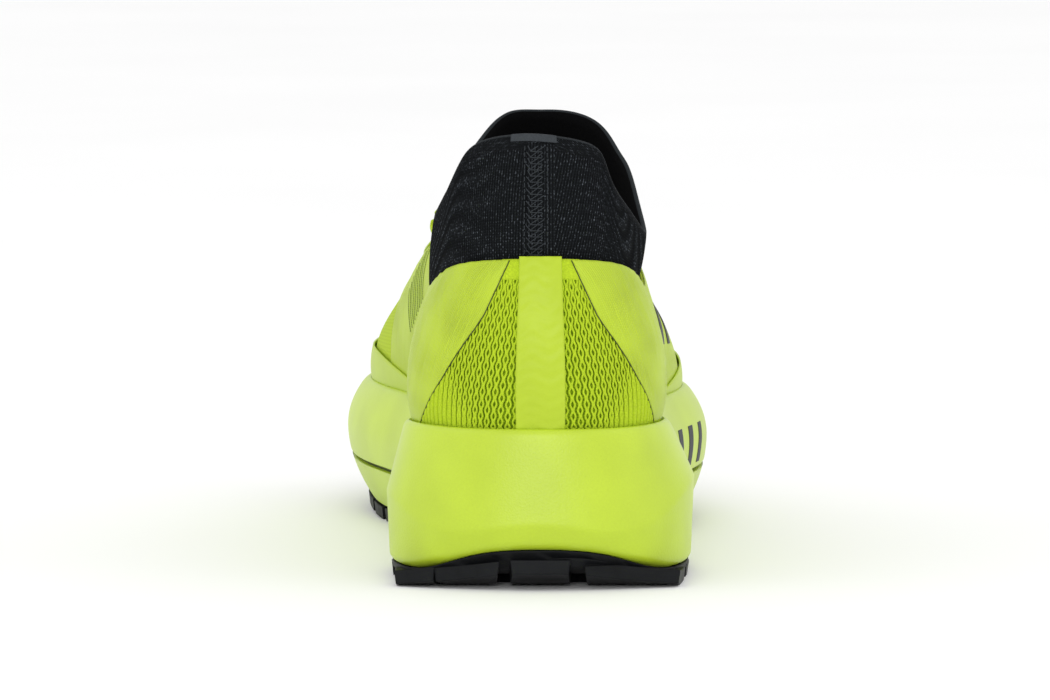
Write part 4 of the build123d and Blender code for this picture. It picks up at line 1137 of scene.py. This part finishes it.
class ShoeCollarSeam(bpy.types.Operator):
    """Coverstitched back seam of the collar and the tape at its top"""

    bl_idname = "shoe.collar_seam"
    bl_label = "Collar seam"

    def execute(self, context):
        half = 2.8
        aside = -1.2
        per_mm = 0.0135 / 3.5
        lines = []
        ups = []

        def stitch(places, heights, lift):
            u = (np.asarray(places) + aside) * per_mm
            v = np.asarray(heights)
            lines.append(collar(u, v, lift + 0 * u))
            ups.append(unit(collar(u, v, 0 * u) - collar(u, v, 1 + 0 * u)))

        rows = 22
        for k in range(rows):
            a = 0.12 + 0.82 * k / rows
            b = 0.12 + 0.82 * (k + 1) / rows
            gap = (b - a) * 0.14
            for x in (-half, half):
                stitch(np.linspace(x, x, 6), np.linspace(a + gap, b - gap, 6), -0.28)
            lean = 0.55 if k % 2 else -0.55
            for x0, x1 in ((-1.3, 0.4), (0.4, 1.9), (-1.3, -2.2)):
                stitch(np.linspace(x0, x1 + lean * 0.3, 8), a + (b - a) * np.linspace(0.1, 0.9, 8), -0.32)
            stitch(np.linspace(-1.4, 1.6, 8), np.full(8, a), -0.34)
        seam = tubes("collar_back_stitches", lines, 0.17, 5, 0.8, ups)
        ride(seam, "seam_thread", finishes["thread"])
        tape = panel("collar_back_tape", collar, const(-0.0135), const(0.0135), const(0.1), const(0.955),
                     (-0.12, 0.0), 16, 60)
        ride(tape, "knit", finishes["knit"], "collar_seam_tape")
        cap = panel("collar_top_tape_fold", collar, const(-0.0307), const(0.0153), const(0.965), const(1.008),
                    (-0.4, 1.9), 24, 8)
        ride(cap, "seam_thread", finishes["tape"], "collar_top_tape")
        return {"FINISHED"}


LACE_PAIRS = 5
LATERAL_LOOPS = (0.222, 0.352)
MEDIAL_LOOPS = (0.778, 0.648)
LOOP_SHARE = 0.985
LOOP_WIDTH = 6.0
LOOP_LENGTH = 8.0
LOOP_BORE = 3.6
LOOP_WEB = 0.8
LOOP_LIFT = 0.4
LOOP_SHIFT = 1.5
THROAT_X = -9.0
LACE = 2.4
LACE_REACH = 6.5
KNOT = np.array([-2.0, 125.5, 108.6])
BOW_LOOP = [(3, 2, 0.6), (13, 4, 0.0), (22, 11, -2.5), (24, 20, -6.5), (15, 21, -5.0),
            (7, 12, -0.8), (2.5, 3.5, 0.9)]
BOW_TAIL = [(1.5, 2.5, -1.2), (8, 16, -2.6), (10, 29, -7.0), (9, 40, -10.0)]


def loop_frame(u):
    """Where a lace loop sits: its place, the way along the throat and up."""
    places = np.array([u - 0.004, u, u + 0.004])
    points = skin(places, np.full(3, LOOP_SHARE), np.zeros(3))
    up = unit(points[1] - skin(places, np.full(3, LOOP_SHARE), np.ones(3))[1])
    along = unit(points[2] - points[0])
    along = -along if along[1] < 0 else along
    along = unit(along - up * np.dot(along, up))
    inwards = np.cross(along, up)
    inwards = -inwards * np.sign(inwards[0] * (points[1][0] - THROAT_X))
    return points[1] + inwards * LOOP_SHIFT, along, up


def lace_turn(u, side):
    point, along, up = loop_frame(u)
    inwards = unit(np.cross(along, up)) * side
    centre = point + up * (LOOP_LIFT + LOOP_WEB + LOOP_BORE / 2) + inwards * (LOOP_LENGTH / 2 - 2.8)
    return [centre - along * LACE_REACH, centre + along * LACE_REACH]


def over_tongue(start, end, lift):
    middle = (start + end) / 2
    along = (middle[1] - TONGUE[0][0]) / (TONGUE[-1][0] - TONGUE[0][0])
    crown = tongue(np.zeros(1), np.array([along]), np.zeros(1))[0, 2]
    return np.array([middle[0], middle[1], max(crown + LACE / 2 + lift, middle[2] + lift)])


def lace_route(lifts=(1.2, 4.2)):
    lateral = np.linspace(*LATERAL_LOOPS, LACE_PAIRS)
    medial = np.linspace(*MEDIAL_LOOPS, LACE_PAIRS)
    first = []
    second = []
    for i in range(LACE_PAIRS):
        ends = [(lateral[i], 1), (medial[i], -1)]
        first.append(lace_turn(*ends[i % 2]))
        second.append(lace_turn(*ends[1 - i % 2]))
    route = [KNOT + (3.5, 1.0, -0.6)]
    for i, turn in enumerate(first):
        if i:
            route.append(over_tongue(route[-1], turn[0], lifts[0]))
        route += turn
    back = [turn[::-1] for turn in second[::-1]]
    route.append(over_tongue(route[-1], back[0][0], lifts[0]))
    for i, turn in enumerate(back):
        if i:
            route.append(over_tongue(route[-1], turn[0], lifts[1]))
        route += turn
    route.append(KNOT + (-3.5, 1.0, -0.6))
    return route


def nurbs_line(points):
    """Points along the smooth NURBS line of a route, as Blender works it out."""
    curve = bpy.data.curves.new("route", "CURVE")
    curve.dimensions = "3D"
    spline = curve.splines.new("NURBS")
    spline.points.add(len(points) - 1)
    for point, place in zip(spline.points, points):
        point.co = (*[float(c) for c in place], 1)
    spline.order_u = 3
    spline.use_endpoint_u = True
    curve.resolution_u = 10
    holder = bpy.data.objects.new("route", curve)
    mesh = bpy.data.meshes.new_from_object(holder)
    line = np.array([vertex.co for vertex in mesh.vertices])
    bpy.data.objects.remove(holder)
    bpy.data.meshes.remove(mesh)
    return line


class ShoeLacing(bpy.types.Operator):
    """Webbing loops, and the round lace with its bow"""

    bl_idname = "shoe.lacing"
    bl_label = "Lacing"

    def execute(self, context):
        routes = [lace_route()]
        for side in (1, -1):
            mirror = np.array([side, 1, 1])
            routes.append([KNOT + np.array(point) * mirror for point in BOW_LOOP])
            routes.append([KNOT + np.array(point) * mirror for point in BOW_TAIL])
        lines = [nurbs_line(route) for route in routes]
        angle = np.linspace(0, 2 * np.pi, 40)
        wrap = np.column_stack([1.1 * np.sin(angle * 2), 2.4 * np.cos(angle), 2.2 * np.sin(angle)]) + KNOT
        lines.append(wrap)
        lace = tubes("lace_braid", lines, LACE / 2, 14)
        ride(lace, "lace", finishes["lace"], "lace")
        for name, ends in (("lateral", LATERAL_LOOPS), ("medial", MEDIAL_LOOPS)):
            points = []
            faces = []
            uv = []
            for u in np.linspace(*ends, LACE_PAIRS):
                point, along, up = loop_frame(u)
                across = np.cross(along, up)
                height = LOOP_BORE + 2 * LOOP_WEB
                middle = point + up * (LOOP_LIFT + height / 2)
                steps = 48
                turn = np.linspace(0, 2 * np.pi, steps, endpoint=False)
                start = len(points)
                for row, half in enumerate((-0.5, -0.42, 0.42, 0.5)):
                    for thick in (0.0, LOOP_WEB):
                        trim = 0.12 if row in (0, 3) else 0.0
                        flat = LOOP_LENGTH / 2 - height / 2
                        r = height / 2 - thick + (trim if thick else -trim)
                        side_way = np.cos(turn)
                        x = np.sign(side_way) * flat * np.minimum(1, np.abs(side_way) * 3) + r * side_way
                        z = r * np.sign(np.sin(turn)) * np.minimum(1, np.abs(np.sin(turn)) * 1.35)
                        for a, b in zip(x, z):
                            points.append(middle + across * a + up * b + along * half * LOOP_WIDTH)
                            uv.append((a * 2, half * LOOP_WIDTH))
                order = [0, 2, 4, 6, 7, 5, 3, 1]
                for k, ring in enumerate(order):
                    after = order[(k + 1) % 8]
                    for j in range(steps):
                        n = (j + 1) % steps
                        faces.append((start + ring * steps + j, start + ring * steps + n,
                                      start + after * steps + n, start + after * steps + j))
            loops = new_piece(f"lace_webbing_{name}", points, faces, uv)
            ride(loops, "webbing", finishes["webbing"], f"lace_loops_{name}")
        return {"FINISHED"}


class ShoePrint(bpy.types.Operator):
    """Slanted printed bars on the outer side and the vents of the inner side"""

    bl_idname = "shoe.print"
    bl_label = "Print and vents"

    def execute(self, context):
        for i in range(6):
            start = 0.182 + 0.019 * i
            bar = panel(f"side_bar_{i + 1}", skin, through(start, start + 0.016),
                        through(start + 0.008, start + 0.024),
                        const(0.3), const(0.72 - 0.03 * i), PRINT, 10, 40)
            ride(bar, "print", finishes["ink"], *(["side_print_lateral"] if i == 0 else []))
        for i in range(5):
            start = 0.196 + 0.02 * i
            bar = panel(f"foam_bar_{i + 1}", foam_skin, through(start, start + 0.008),
                        through(start + 0.008, start + 0.016), const(0.05), const(0.62), (-0.12, 0.3), 8, 24)
            ride(bar, "print", finishes["ink"])
        for i in range(9):
            start = 0.775 - 0.0042 * i
            slot = panel(f"vent_slot_{i + 1}", skin, through(start, start - 0.006),
                         through(start + 0.0022, start - 0.0038),
                         const(0.50 - 0.02 * i), const(0.86 - 0.035 * i), (0.48, 0.7), 5, 30)
            ride(slot, "mesh", finishes["vent"])
        return {"FINISHED"}


class ShoePanel(bpy.types.Panel):
    """The shoe's settings and makers"""

    bl_idname = "VIEW3D_PT_shoe"
    bl_label = "Trail shoe"
    bl_space_type = "VIEW_3D"
    bl_region_type = "UI"
    bl_category = "Shoe"

    def draw(self, context):
        for group in (context.scene.shoe_colours, context.scene.shoe_sizes):
            for name in group.bl_rna.properties.keys():
                if name not in ("rna_type", "name"):
                    self.layout.prop(group, name)
        for maker in MAKERS:
            self.layout.operator(maker.bl_idname)


MAKERS = [
    ShoeStage, ShoeFoam, ShoeHeelRubber, ShoeCadFinishes, ShoeSockliner, ShoeUpper, ShoeWindows,
    ShoeFilms, ShoeTrims,
    ShoeCollar, ShoeCollarSeam, ShoeLacing, ShoePrint,
]


def register():
    for group in (ShoeColours, ShoeSizes, ShoePanel, *MAKERS):
        bpy.utils.register_class(group)
    bpy.types.Scene.shoe_colours = PointerProperty(type=ShoeColours)
    bpy.types.Scene.shoe_sizes = PointerProperty(type=ShoeSizes)


def unregister():
    del bpy.types.Scene.shoe_sizes
    del bpy.types.Scene.shoe_colours
    for group in reversed((ShoeColours, ShoeSizes, ShoePanel, *MAKERS)):
        bpy.utils.unregister_class(group)


def main():
    register()
    make_finishes()
    for maker in MAKERS:
        family, action = maker.bl_idname.split(".")
        getattr(getattr(bpy.ops, family), action)()


if __name__ == "__main__":
    main()
